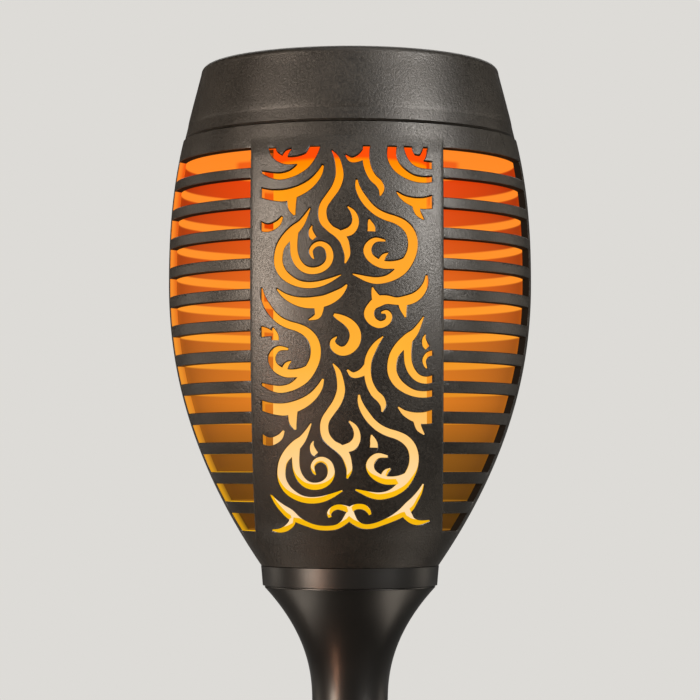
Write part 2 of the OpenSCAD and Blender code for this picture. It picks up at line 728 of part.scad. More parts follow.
module led_chips() {
    chip = [0.9, 3.5, 2.8];
    color("#f6d77a") at_seam()
        for (row = [0:led_rows - 1], column = [0:led_columns - 1])
            rotate([0, 0, (column + 0.5) * 360 / led_columns])
                translate([mast_r + 0.05 + flex_t, -chip[1] / 2,
                           board_foot + (row + 0.5) * row_pitch + 1 - chip[2] / 2])
                    cube(chip);
}

module mast_end_cap() {
    color("#dcdcd6") at_seam() turned([
        [0, mast_foot - 3], [mast_r - 1, mast_foot - 3], [mast_r, mast_foot - 2], [mast_r, mast_foot],
        [mast_r - mast_wall - 0.1, mast_foot], [mast_r - mast_wall - 0.1, mast_foot + 5],
        [mast_r - mast_wall - 1.6, mast_foot + 5], [mast_r - mast_wall - 1.6, mast_foot], [0, mast_foot]
    ]);
}

// ---- nodes ----------------------------------------------------------------------------------

ground_stake();
lower_pole();
middle_pole();
upper_pole();
neck();
cage();
light_tube();
flame_liner();
cap_seal();
top_cap();
solar_cover();
solar_cells();
solar_backing();
control_housing();
housing_screws();
battery_cell();
battery_contacts();
control_board();
board_parts();
board_screws();
switch_body();
push_button();
switch_plunger();
panel_leads();
battery_leads();
led_leads();
led_mast();
led_board();
led_chips();
mast_end_cap();
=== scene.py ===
import functools
import json
import math

import bmesh
import bpy
import numpy as np
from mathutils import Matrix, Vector, kdtree
from mathutils.geometry import delaunay_2d_cdt


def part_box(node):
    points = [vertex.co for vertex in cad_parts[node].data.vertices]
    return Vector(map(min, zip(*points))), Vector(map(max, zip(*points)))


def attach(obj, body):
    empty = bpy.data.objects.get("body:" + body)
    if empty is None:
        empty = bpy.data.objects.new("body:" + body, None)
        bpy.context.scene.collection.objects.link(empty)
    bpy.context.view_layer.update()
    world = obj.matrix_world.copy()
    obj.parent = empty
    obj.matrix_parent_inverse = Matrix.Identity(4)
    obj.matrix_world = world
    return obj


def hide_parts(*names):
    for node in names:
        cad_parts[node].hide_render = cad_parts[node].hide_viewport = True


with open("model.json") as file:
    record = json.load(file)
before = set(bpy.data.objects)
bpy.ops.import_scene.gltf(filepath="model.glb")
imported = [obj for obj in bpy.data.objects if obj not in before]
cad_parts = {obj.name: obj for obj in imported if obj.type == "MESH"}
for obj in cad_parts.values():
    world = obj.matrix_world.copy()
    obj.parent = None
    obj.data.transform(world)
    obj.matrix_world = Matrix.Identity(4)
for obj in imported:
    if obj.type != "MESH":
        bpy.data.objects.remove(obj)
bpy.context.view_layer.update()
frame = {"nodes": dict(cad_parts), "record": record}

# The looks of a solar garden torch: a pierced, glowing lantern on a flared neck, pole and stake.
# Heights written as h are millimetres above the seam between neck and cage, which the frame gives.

MM = 0.001
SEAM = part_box("cage")[0].z
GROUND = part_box("ground_stake")[0].z

# ---- sizes, in mm -----------------------------------------------------------------------------

CAGE_R = 62.5            # radius at the widest ring
CAGE_H = 146.0
RIM_H = 145.6            # top of the cage's rim
BELLY_H = 97.0           # height of the widest ring
FOOT_R = 30.6
TOP_R = 57.6
WALL = 2.4

SLOTS = 13
SLOT_PITCH = 9.93
SLOT_OPEN = 6.0
SLOT_TOP = 137.2
PANEL_HALF = 31.5        # half width of the raised panel
PANEL_RISE = 0.7
PANEL_FOOT, PANEL_HEAD = 8.0, 141.5
RIB_HALF = 11.0          # half width of the ribs at the sides

SCROLL_SHIFT = 1.1       # the scrollwork's zero line lies this far left of the panel's middle
WINDOW_HALF = 27.7
WINDOW_FOOT, WINDOW_HEAD = 11.0, 137.4

FLOOR_T = 3.0
SOCKET_R, SOCKET_WALL, SOCKET_H = 22.2, 2.4, 12.0
LEDGE_R, LEDGE_FOOT, LEDGE_TOP = 50.5, 142.0, 144.0
LUGS = 3

CAP_FOOT_R, CAP_TOP_R, CAP_H = 57.2, 50.9, 25.6
SOLAR_R = 46.0

NECK_H = 46.5
NECK_FOOT_R = 13.0
FLARE_TOP = -7.5
FLARE_R = 29.4

# ---- scrollwork ---------------------------------------------------------------------------------
# Each stroke lists across, up and width for each point along its centre line, on the unrolled panel.

FLAME = [
    [-5.9, 136, 0.3, -4.3, 133.5, 1.6, -3.5, 130.2, 2.2, -3.4, 127, 2.7, -4.6, 123.6, 2.8,
     -6.6, 120.7, 2.7, -8.4, 118, 2.7, -8.9, 115.4, 2.7, -8.3, 112.6, 2.7, -6.2, 110.2, 2.4,
     -3.9, 108.7, 2.8, -2, 106.6, 2.8, -1.1, 103.9, 2.3, -0.8, 101.6, 1.8, -1.5, 99, 0.5],
    [-3.6, 108.3, 2.4, -1.4, 108.9, 2.7, 0.3, 109.6, 2.9, 1.6, 111.4, 2.5, 1.8, 113.6, 2, 1, 115.7, 1.5,
     -0.7, 117.5, 0.5]
]
DROP = [
    [-12.9, 117.1, 0.4, -14.2, 114.7, 1.3, -15.9, 112.1, 2.4, -18.1, 110.1, 3.4, -20.8, 107.6, 3.4,
     -22.9, 104.8, 3, -23.7, 101.6, 3, -23.5, 98.7, 3, -22, 96, 2.9, -19.6, 94, 2.6, -16.6, 92.6, 2.2,
     -13.4, 92.1, 2.1, -10, 92.4, 2, -6.6, 93.5, 1.5, -2.8, 95.3, 0.4],
    [-17.6, 110.4, 2, -18.3, 107.6, 2.6, -18.4, 104.6, 2.5, -18.1, 102, 2.5, -17, 99.5, 2.5,
     -15, 97.5, 2.4, -12.3, 96.7, 2.3, -9.4, 97.2, 2.3, -7.2, 98.9, 2.3, -6.4, 101.4, 2.3,
     -7.2, 104.1, 2.1, -9.3, 105.4, 1.8, -11.4, 104.9, 1.6, -12.6, 103.2, 1.3, -12.2, 101.4, 0.9,
     -11.6, 100.5, 0.4],
    [-12.2, 111.4, 0.3, -12.7, 110, 1.2, -12.3, 108.2, 2, -11.4, 107.1, 1.8]
]
HOOK = [
    [2.2, 126.3, 0.6, 2.4, 124.4, 1.3, 3.2, 122.2, 1.9, 4.7, 119.7, 2.3, 6.6, 117.4, 2.3, 9, 115.5, 2.4,
     11.8, 114.2, 2.5, 14.8, 113.3, 2.6, 17.6, 111.9, 2.9, 19.8, 109.6, 3.1, 20.8, 106.5, 3.3,
     20.5, 103.1, 3.4, 19, 99.9, 3.6, 16.9, 97.2, 3.6, 14.4, 95.2, 2.9, 11.8, 94, 2.4, 8.6, 93.5, 2.3,
     5.6, 94, 1.9, 3.2, 94.8, 1.2, 0.9, 95.6, 0.4],
    [18.6, 99.6, 3.4, 16.4, 98.9, 3, 13.6, 98.6, 2.6, 10.8, 98.7, 2.7, 8.2, 99.7, 2.6, 6.3, 101.4, 2.5,
     5.7, 103.6, 2.6, 6.7, 105.6, 2.2, 8.6, 106.7, 1.6, 11.6, 106.4, 0.7],
    [10, 99.6, 2, 11, 101.4, 1.6, 12.5, 102.5, 0.4],
    [6.2, 113.4, 0.4, 6.6, 112, 1.7, 7, 110.6, 2.4, 7, 109.3, 2.6]
]
SMILE = [
    [-24.2, 91.1, 0.4, -21.6, 88.9, 1.6, -18.3, 87.3, 2.6, -14.8, 86.5, 3.4, -11.2, 86.5, 3.8,
     -7.8, 87.1, 3.7, -4.6, 88.6, 3.2, -2.3, 90.4, 1.9, -0.9, 92.2, 0.6],
    [-10, 86, 3.6, -10, 83.8, 2.8, -10.7, 82, 2, -13.4, 80.9, 0.4]
]
CURL = [
    [25.6, 95.6, 0.7, 25.3, 93, 1.8, 23.9, 90.4, 2.6, 21.6, 88.4, 3.1, 18.6, 87.3, 3.2, 15.2, 87, 2.5,
     12, 87.4, 2.9, 9.4, 86.9, 3.6, 7.2, 85.3, 3, 6.2, 82.9, 3.3, 7.2, 80.6, 2.8, 9.6, 79.4, 2.4,
     12, 80.2, 2.1, 12.8, 82, 2, 11.9, 83.4, 1.5, 10.2, 83.2, 0.7],
    [7.3, 91.4, 0.4, 7.8, 89.6, 1.7, 8.8, 87.6, 3, 10.4, 86.6, 2],
    [17.3, 87, 3.2, 17.5, 84.8, 2.4, 18.3, 81.8, 0.5]
]
COMMA = [
    [-5.2, 82.6, 0.9, -3.6, 81.8, 2, -1, 80.4, 2.8, 1, 78.4, 3.3, 1.8, 75.9, 3.7, 1.2, 73.3, 3.8,
     -0.7, 71.3, 3.3, -3, 70.9, 2.9, -5, 72.2, 2.5, -5.5, 74, 1.6, -4.2, 75.5, 0.4]
]
FORK = [
    [10.8, 75.6, 0.4, 8.9, 73.6, 1.5, 7.3, 71.2, 2.2, 6.1, 68.5, 2.3, 5.7, 65.8, 2.2, 5.8, 62.9, 2.2,
     6.5, 60.1, 2.3, 8, 57.4, 2.5, 9.9, 55.6, 2.5, 10.8, 53.6, 1.9, 10.4, 51.4, 0.4],
    [6.1, 67.6, 1.6, 4.8, 64.8, 2.6, 2.8, 63.5, 2.2, 0.8, 63.3, 1.7, -0.9, 64.9, 0.5]
]
SWOOP = [
    [-8.7, 62.2, 0.7, -9.8, 59.6, 1.9, -11.8, 57, 2.6, -14.6, 54.9, 3.2, -18, 53.4, 3.6, -21.6, 52.5, 4,
     -25.4, 52.7, 3.6, -28.4, 53.3, 3.3, -32, 54.4, 3],
    [-18.9, 53, 3.4, -19.1, 50, 3, -18.9, 48, 2.4, -18.1, 45.9, 0.6]
]
TAIL = [
    [-22.3, 45.4, 0.7, -23.8, 43.3, 2, -26.5, 42, 2.5, -29, 42.1, 2.8, -32, 43.6, 3]
]
WING = [
    [15.3, 122.4, 0.4, 17.4, 120.6, 1.7, 20.2, 119.4, 2.8, 23.2, 118.9, 3.6, 26, 119.1, 4, 30, 120, 4.6],
    [21.9, 118.6, 3, 22.3, 116.4, 2.2, 23, 115.2, 1.8, 24.6, 113.6, 0.4]
]
CHIP = [
    [-32, 77.4, 4, -29.5, 77.4, 3.4, -27, 77, 2.3, -23.9, 76, 0.4]
]
CREST = [
    [18.8, 139, 2.6, 19.6, 135.6, 2.6, 21.4, 132.9, 2.8, 24.2, 131.7, 2.6, 30, 131.5, 2.4],
    [20.6, 134, 2, 23.6, 133.6, 2.4, 25, 136, 1.8, 25.6, 139, 1.6]
]
BORDER = [
    [-28.2, 24.5, 0.4, -26.2, 22.1, 1.6, -23.8, 20, 2.6, -20.9, 18, 3.4, -17.8, 16.1, 2.1,
     -14.6, 14.7, 1.5, -11.2, 13.7, 1.5, -7.8, 13.5, 1.5, -4.9, 13.9, 1.5, -2.8, 15.1, 1.7,
     -1.2, 16.8, 2.4, 0, 19, 2.4],
    [-28.7, 12.6, 0.4, -25.6, 12.5, 1.3, -22.6, 13.4, 2, -20.4, 15.3, 2.4, -20.2, 17.4, 2.4],
    [0.4, 19.2, 2.2, -2.3, 20.2, 1.9, -4.4, 20.5, 1.6, -6.3, 19.7, 1.5, -7.2, 18.3, 1.4, -6.9, 17.1, 1],
    [-0.6, 19.2, 2.2, 0.9, 20.3, 1.8, 2.6, 20.7, 1.7, 4.5, 20.4, 1.7, 5.8, 19.3, 1.4, 6.4, 18, 0.8],
    [-0.2, 19, 2.2, 0.2, 17, 2.8, 1.8, 15.2, 1.9, 4.2, 14.1, 1.5, 7.2, 14.2, 1.6, 10.4, 15.2, 1.6,
     13.8, 16.6, 2, 17, 18.3, 2.8, 19.9, 20.4, 3.6, 22.2, 23, 2.6, 24, 25.5, 1.7, 25.2, 28, 0.5],
    [18, 19.2, 2.8, 19.6, 17.6, 3.2, 21.4, 15.9, 2.2, 24.2, 15.2, 1.5, 28.5, 15.8, 0.4]
]

SCROLL_REPEAT = 69.1
HALF_DROP = SCROLL_REPEAT / 2
# Each placement is [strokes, shift across, shift up]
SCROLL_PLACES = [
    [FLAME, 0, 0], [FLAME, 0.4, -SCROLL_REPEAT], [DROP, 0, 0], [DROP, 0.1, -SCROLL_REPEAT - 0.3],
    [HOOK, 0, 0], [HOOK, 0.7, -SCROLL_REPEAT - 0.3], [SMILE, 0, 0], [CURL, 0, 0], [COMMA, 0, 0],
    [FORK, 0, 0], [FORK, -0.5, SCROLL_REPEAT + 0.4], [SWOOP, 0, -0.2], [SWOOP, 0, SCROLL_REPEAT - 0.2],
    [TAIL, 0, 0], [TAIL, 0, SCROLL_REPEAT], [WING, 0, 0], [WING, 0.5, -SCROLL_REPEAT - 0.3],
    [CHIP, 0, 0], [HOOK, -31.9, HALF_DROP - 0.3], [HOOK, -31.9, -HALF_DROP - 0.2],
    [[DROP[0]], 37.4, HALF_DROP], [CREST, 0, 0], [DROP, 37.4, -HALF_DROP - 0.4], [BORDER, 0, 0]
]

# ---- small tools --------------------------------------------------------------------------------


def mesh_object(name, verts, faces, materials, sharp=35, face_materials=None):
    """A smooth-shaded mesh with its edges sharp above an angle. Corners are in mm, from the seam up."""
    mesh = bpy.data.meshes.new(name)
    mesh.from_pydata([[x * MM, y * MM, (z + SEAM / MM) * MM] for x, y, z in verts], [], faces)
    for material in materials:
        mesh.materials.append(material)
    if face_materials is not None:
        mesh.polygons.foreach_set("material_index", face_materials)
    work = bmesh.new()
    work.from_mesh(mesh)
    bmesh.ops.remove_doubles(work, verts=work.verts, dist=1e-6)
    bmesh.ops.recalc_face_normals(work, faces=work.faces)
    work.to_mesh(mesh)
    work.free()
    mesh.polygons.foreach_set("use_smooth", [True] * len(mesh.polygons))
    mesh.set_sharp_from_angle(angle=math.radians(sharp))
    piece = bpy.data.objects.new(name, mesh)
    bpy.context.scene.collection.objects.link(piece)
    return piece


def weigh_normals(piece):
    """Lets large faces steer the shading, so that narrow rounded edges don't smear over them."""
    weigher = piece.modifiers.new("weigher", "WEIGHTED_NORMAL")
    weigher.keep_sharp = True
    shaped = piece.evaluated_get(bpy.context.evaluated_depsgraph_get())
    piece.data = bpy.data.meshes.new_from_object(shaped)
    piece.modifiers.clear()


def grid_faces(rows, columns, closed=True):
    """Faces of a grid of corners listed row by row. The last row joins the first, and so may the columns."""
    return [
        [i * columns + k, i * columns + n, j * columns + n, j * columns + k]
        for i, j in zip(range(rows), [*range(1, rows), 0])
        for k, n in zip(range(columns), [*range(1, columns)] + [0] * closed)
    ]


def turned(points, steps):
    """Corners and faces of a body turned round the axis from [radius, height] points."""
    ring = [i * 2 * math.pi / steps for i in range(steps)]
    verts = [[r * math.sin(a), -r * math.cos(a), z] for r, z in points for a in ring]
    return verts, grid_faces(len(points), steps)


def join(*parts):
    """One list of corners and faces from several."""
    verts, faces = [], []
    for more_verts, more_faces in parts:
        start = len(verts)
        verts += more_verts
        faces += [[start + i for i in face] for face in more_faces]
    return verts, faces


def block(low, high, turn=0.0):
    """A box between two corners, turned about the axis."""
    c, s = math.cos(turn), math.sin(turn)
    corners = [[x, y, z] for z in (low[2], high[2]) for y in (low[1], high[1]) for x in (low[0], high[0])]
    verts = [[c * x - s * y, s * x + c * y, z] for x, y, z in corners]
    faces = [[0, 2, 3, 1], [4, 5, 7, 6], [0, 1, 5, 4], [2, 6, 7, 3], [0, 4, 6, 2], [1, 3, 7, 5]]
    return verts, faces


# ---- cage ---------------------------------------------------------------------------------------

LOWER_CURVE, UPPER_CURVE = 2.08, 2.4    # powers that shape the outline below and above the widest ring


def cage_r(h):
    """Outer radius of the cage at height h."""
    h = np.asarray(h, float)
    lower = CAGE_R - (CAGE_R - FOOT_R) * (np.maximum(BELLY_H - h, 0) / BELLY_H) ** LOWER_CURVE
    upper = CAGE_R - (CAGE_R - TOP_R) * (np.maximum(h - BELLY_H, 0) / (CAGE_H - BELLY_H)) ** UPPER_CURVE
    return np.where(h < BELLY_H, lower, upper)


# The wall is laid out flat on (p, h). p is x on the panels, then runs over a bay and half a rib.
BAY = 54.0
RIB = 11.0
P_END = PANEL_HALF + BAY + RIB
NARROW = 0.88            # largest share of the radius that the panel's half width takes


def angle_at(p, r):
    """Angle from the front at p on a wall of radius r: the cuts run straight back, not inward."""
    a = np.abs(p)
    edge_sine = np.minimum(1 / r, NARROW / PANEL_HALF)
    edge = np.arcsin(edge_sine * PANEL_HALF)
    rib = np.arccos(RIB_HALF / r)
    panel = np.arcsin(edge_sine * np.minimum(a, PANEL_HALF))
    bay = edge + (rib - edge) * (a - PANEL_HALF) / BAY
    side = rib + (np.pi / 2 - rib) * (a - PANEL_HALF - BAY) / RIB
    angle = np.where(a <= PANEL_HALF, panel, np.where(a <= PANEL_HALF + BAY, bay, side))
    return np.sign(p) * angle


def quarter_round(t, size):
    """Height of a rounded edge, from 0 at its foot to 1 where it is size wide."""
    t = np.clip(t / size, 0, 1)
    return np.sqrt(1 - (1 - t) ** 2)


PANEL_ROUND = 1.0
PANEL_FADE = 7.0         # the panel sinks into the wall over this height at its head and foot


def panel_rise(p, h):
    across = quarter_round(PANEL_HALF - np.abs(p), PANEL_ROUND)
    ends = np.clip(np.minimum(h - PANEL_FOOT, PANEL_HEAD - h) / PANEL_FADE, 0, 1)
    return PANEL_RISE * across * ends**2 * (3 - 2 * ends)


def on_wall(p, h, r):
    a = angle_at(p, r)
    return np.stack([r * np.sin(a), -r * np.cos(a), h], 1)


CURVE_STEPS = 4


def smooth(points):
    """A smooth curve through a stroke's points."""
    p = np.reshape(np.array(points, float), (-1, 3))
    q = np.vstack([2 * p[0] - p[1], p, 2 * p[-1] - p[-2]])
    curve = []
    for a, b, c, d in zip(q, q[1:], q[2:], q[3:]):
        for t in np.arange(CURVE_STEPS) / CURVE_STEPS:
            bend = (2 * a - 5 * b + 4 * c - d) * t**2
            curve.append((2 * b + (c - a) * t + bend + (3 * b - 3 * c + d - a) * t**3) / 2)
    return np.array(curve + [p[-1]])


def stroke_outline(stroke, across, up):
    """A stroke's outline as seen from the front."""
    c = smooth(stroke)
    along = np.gradient(c[:, :2], axis=0)
    normal = np.stack([-along[:, 1], along[:, 0]], 1) / np.linalg.norm(along, axis=1, keepdims=True)
    half = c[:, 2:] / 2
    outline = np.vstack([c[:, :2] + normal * half, (c[:, :2] - normal * half)[::-1]])
    s, h = outline[:, 0] + across + SCROLL_SHIFT, outline[:, 1] + up
    r = cage_r(h) + PANEL_RISE
    return np.stack([r * np.sin(s / r), h], 1)


def scroll_outlines():
    return [
        stroke_outline(stroke, across, up)
        for strokes, across, up in SCROLL_PLACES
        for stroke in strokes
    ]


def inside(points, outline):
    """Which points an outline goes round, by winding number."""
    a, b = outline, np.roll(outline, -1, axis=0)
    turns = np.zeros(len(points), int)
    low, high = outline.min(0), outline.max(0)
    near = np.nonzero(((points > low) & (points < high)).all(1))[0]
    x, y = points[near, 0, None], points[near, 1, None]
    side = (b[:, 0] - a[:, 0]) * (y - a[:, 1]) - (x - a[:, 0]) * (b[:, 1] - a[:, 1])
    up = (a[:, 1] <= y) & (b[:, 1] > y) & (side > 0)
    down = (a[:, 1] > y) & (b[:, 1] <= y) & (side < 0)
    turns[near] = up.sum(1) - down.sum(1)
    return turns != 0


def slot_spans():
    """Lower and upper edge of each slot."""
    return [(SLOT_TOP - i * SLOT_PITCH - SLOT_OPEN, SLOT_TOP - i * SLOT_PITCH) for i in range(SLOTS)]


def is_open(points, scrolls):
    """Which points of the flat layout lie in a cut."""
    p, h = points[:, 0], points[:, 1]
    scroll = np.zeros(len(points), bool)
    for outline in scrolls:
        scroll |= inside(points, outline)
    window = (np.abs(p) < WINDOW_HALF) & (h > WINDOW_FOOT) & (h < WINDOW_HEAD)
    slot = np.zeros(len(points), bool)
    for low, high in slot_spans():
        slot |= (h > low) & (h < high)
    bay = (np.abs(p) > PANEL_HALF) & (np.abs(p) < PANEL_HALF + BAY)
    return (scroll & window) | (slot & bay)


def triangulate(points, loops, edges):
    """Delaunay triangles of points, closed loops and edges, as corner and triangle arrays."""
    coords = [Vector(p) for p in points]
    lines = list(edges)
    for loop in loops:
        start = len(coords)
        coords += [Vector(p) for p in loop]
        lines += [(start + i, start + (i + 1) % len(loop)) for i in range(len(loop))]
    verts, _, faces, *_ = delaunay_2d_cdt(coords, lines, [], 0, 1e-5)
    return np.array([v[:] for v in verts]), np.array([f for f in faces if len(f) == 3])


def rectangle(p0, p1, h0, h1, step):
    """A rectangle's outline, its sides cut into steps."""
    across = np.linspace(p0, p1, max(2, round((p1 - p0) / step) + 1))
    upward = np.linspace(h0, h1, max(2, round((h1 - h0) / step) + 1))
    sides = [(across[:-1], h0), (p1, upward[:-1]), (across[:0:-1], h1), (p0, upward[:0:-1])]
    return np.vstack([np.stack(np.broadcast_arrays(p, h), 1) for p, h in sides])


def open_edges(tris):
    """Edges that only one triangle uses, each with its triangle's third corner."""
    pairs = np.vstack([tris[:, [0, 1]], tris[:, [1, 2]], tris[:, [2, 0]]])
    third = np.concatenate([tris[:, 2], tris[:, 0], tris[:, 1]])
    key = np.sort(pairs, 1)
    _, index, count = np.unique(key, axis=0, return_index=True, return_counts=True)
    single = index[count == 1]
    return pairs[single], third[single]


def toward_gap(points, edges, third):
    """For each corner on a cut edge, the direction on the layout into the gap. Zero elsewhere."""
    along = points[edges[:, 1]] - points[edges[:, 0]]
    normal = np.stack([-along[:, 1], along[:, 0]], 1) / np.linalg.norm(along, axis=1, keepdims=True)
    normal *= -np.sign(((points[third] - points[edges[:, 0]]) * normal).sum(1, keepdims=True))
    push = np.zeros_like(points)
    np.add.at(push, edges[:, 0], normal)
    np.add.at(push, edges[:, 1], normal)
    length = np.linalg.norm(push, axis=1, keepdims=True)
    return np.where(length > 0.2, push / np.maximum(length, 0.2), 0.0)


def is_cut(middle):
    """Which edges, given by their middles, are a cut's and not the layout's border."""
    p, h, near = np.abs(middle[:, 0]), middle[:, 1], 0.01
    return (p < P_END - near) & (h > near) & (h < RIM_H - near)


# A short slanted groove at the rim, right of the front, marks where the cap goes
GROOVE = np.array([[65.1, RIM_H], [67.4, 141.8]])
GROOVE_HALF, GROOVE_DEPTH = 0.3, 0.4


def off_groove(points):
    """Distance to the groove's middle line."""
    d = GROOVE[1] - GROOVE[0]
    share = np.clip((points - GROOVE[0]) @ d / (d @ d), 0, 1)
    return np.linalg.norm(points - GROOVE[0] - share[:, None] * d, axis=1)


GRID = 2.5               # spacing of the wall's corners away from cuts
WINDOW_STEP = 1.5        # and along the window's sides
EDGE_ROUND = 0.22        # size of the rounding along cut edges


def wall_layout():
    """The pierced wall of the front half, laid out flat: corners, triangles and the cuts' edges."""
    scrolls = scroll_outlines()
    window = rectangle(-WINDOW_HALF, WINDOW_HALF, WINDOW_FOOT, WINDOW_HEAD, WINDOW_STEP)
    slots = [
        rectangle(start, start + BAY, low, high, GRID)
        for low, high in slot_spans()
        for start in (-PANEL_HALF - BAY, PANEL_HALF)
    ]
    border = rectangle(-P_END, P_END, 0, RIM_H, GRID)
    points, tris = triangulate([], scrolls + slots + [window, border], [])
    middle = points[tris].mean(1)
    solid = tris[~is_open(middle, scrolls) & (middle[:, 1] < RIM_H)]
    used, solid = np.unique(solid, return_inverse=True)
    points, solid = points[used], solid.reshape(-1, 3)
    edges, third = open_edges(solid)
    cut = is_cut(points[edges].mean(1))
    edges, third = edges[cut], third[cut]

    # Corners just inside the cut edges carry the rounding
    push = toward_gap(points, edges, third)
    used = np.nonzero(np.abs(push).sum(1) > 0)[0]
    ring = points[used] - push[used] * EDGE_ROUND

    # Grid corners, with closer rows and columns along the panel's rounded border
    close = PANEL_ROUND * np.array([0.06, 0.2, 0.5, 1.0])
    columns = np.arange(-P_END, P_END + 0.01, 2 * P_END / round(2 * P_END / GRID))
    rows = np.arange(0, RIM_H + 0.01, RIM_H / round(RIM_H / GRID))
    panel_columns = np.concatenate([[WINDOW_HALF + 0.7, WINDOW_HALF + 1.7, PANEL_HALF], PANEL_HALF - close])
    panel_rows = [PANEL_FOOT, PANEL_FOOT + PANEL_FADE, PANEL_HEAD - PANEL_FADE, PANEL_HEAD]
    border_middle, border_half = PANEL_HALF - PANEL_ROUND / 2, 1.3
    columns = columns[np.abs(np.abs(columns) - border_middle) > border_half]
    grid = np.array([[p, h] for p in columns for h in rows])
    lines = np.array(
        [[side * p, h] for p in panel_columns for h in np.arange(0, RIM_H, 1.0) for side in (-1, 1)]
        + [[p, h] for h in panel_rows for p in np.arange(-PANEL_HALF + 1, PANEL_HALF, 2.0)]
    )

    starts, ends = points[edges[:, 0]], points[edges[:, 1]]
    samples = np.vstack([starts + (ends - starts) * t for t in np.linspace(0, 1, 9)])
    tree = kdtree.KDTree(len(samples))
    for i, (p, h) in enumerate(samples):
        tree.insert((p, h, 0), i)
    tree.balance()

    def clear(spots, distance):
        away = np.array([tree.find((p, h, 0))[2] for p, h in spots])
        return spots[(away > distance) & ~is_open(spots, scrolls)]

    grid_room, line_room, groove_room = 0.9, 0.15, 0.8
    grid = grid[off_groove(grid) > groove_room]
    spots = np.vstack([clear(grid, grid_room), clear(lines, line_room), clear(ring, EDGE_ROUND * 0.8)])
    corners = np.vstack([points, spots])
    folds = [np.array([[p, PANEL_FOOT], [p, PANEL_HEAD]]) for p in (-PANEL_HALF, PANEL_HALF)]
    folds += [GROOVE + [shift, 0] for shift in (-GROOVE_HALF, 0, GROOVE_HALF)]
    layout, tris = triangulate(corners, [border] + folds, [tuple(e) for e in edges])
    tris = tris[~is_open(layout[tris].mean(1), scrolls)]
    edges, third = open_edges(tris)
    cut = is_cut(layout[edges].mean(1))
    return layout, tris, edges[cut], toward_gap(layout, edges[cut], third[cut])


# ---- materials ----------------------------------------------------------------------------------


def seen(red, green, blue):
    """The linear colour that shows on a screen as these values from 0 to 255."""
    shares = (red / 255, green / 255, blue / 255)
    return tuple(c / 12.92 if c < 0.04 else ((c + 0.055) / 1.055) ** 2.4 for c in shares)


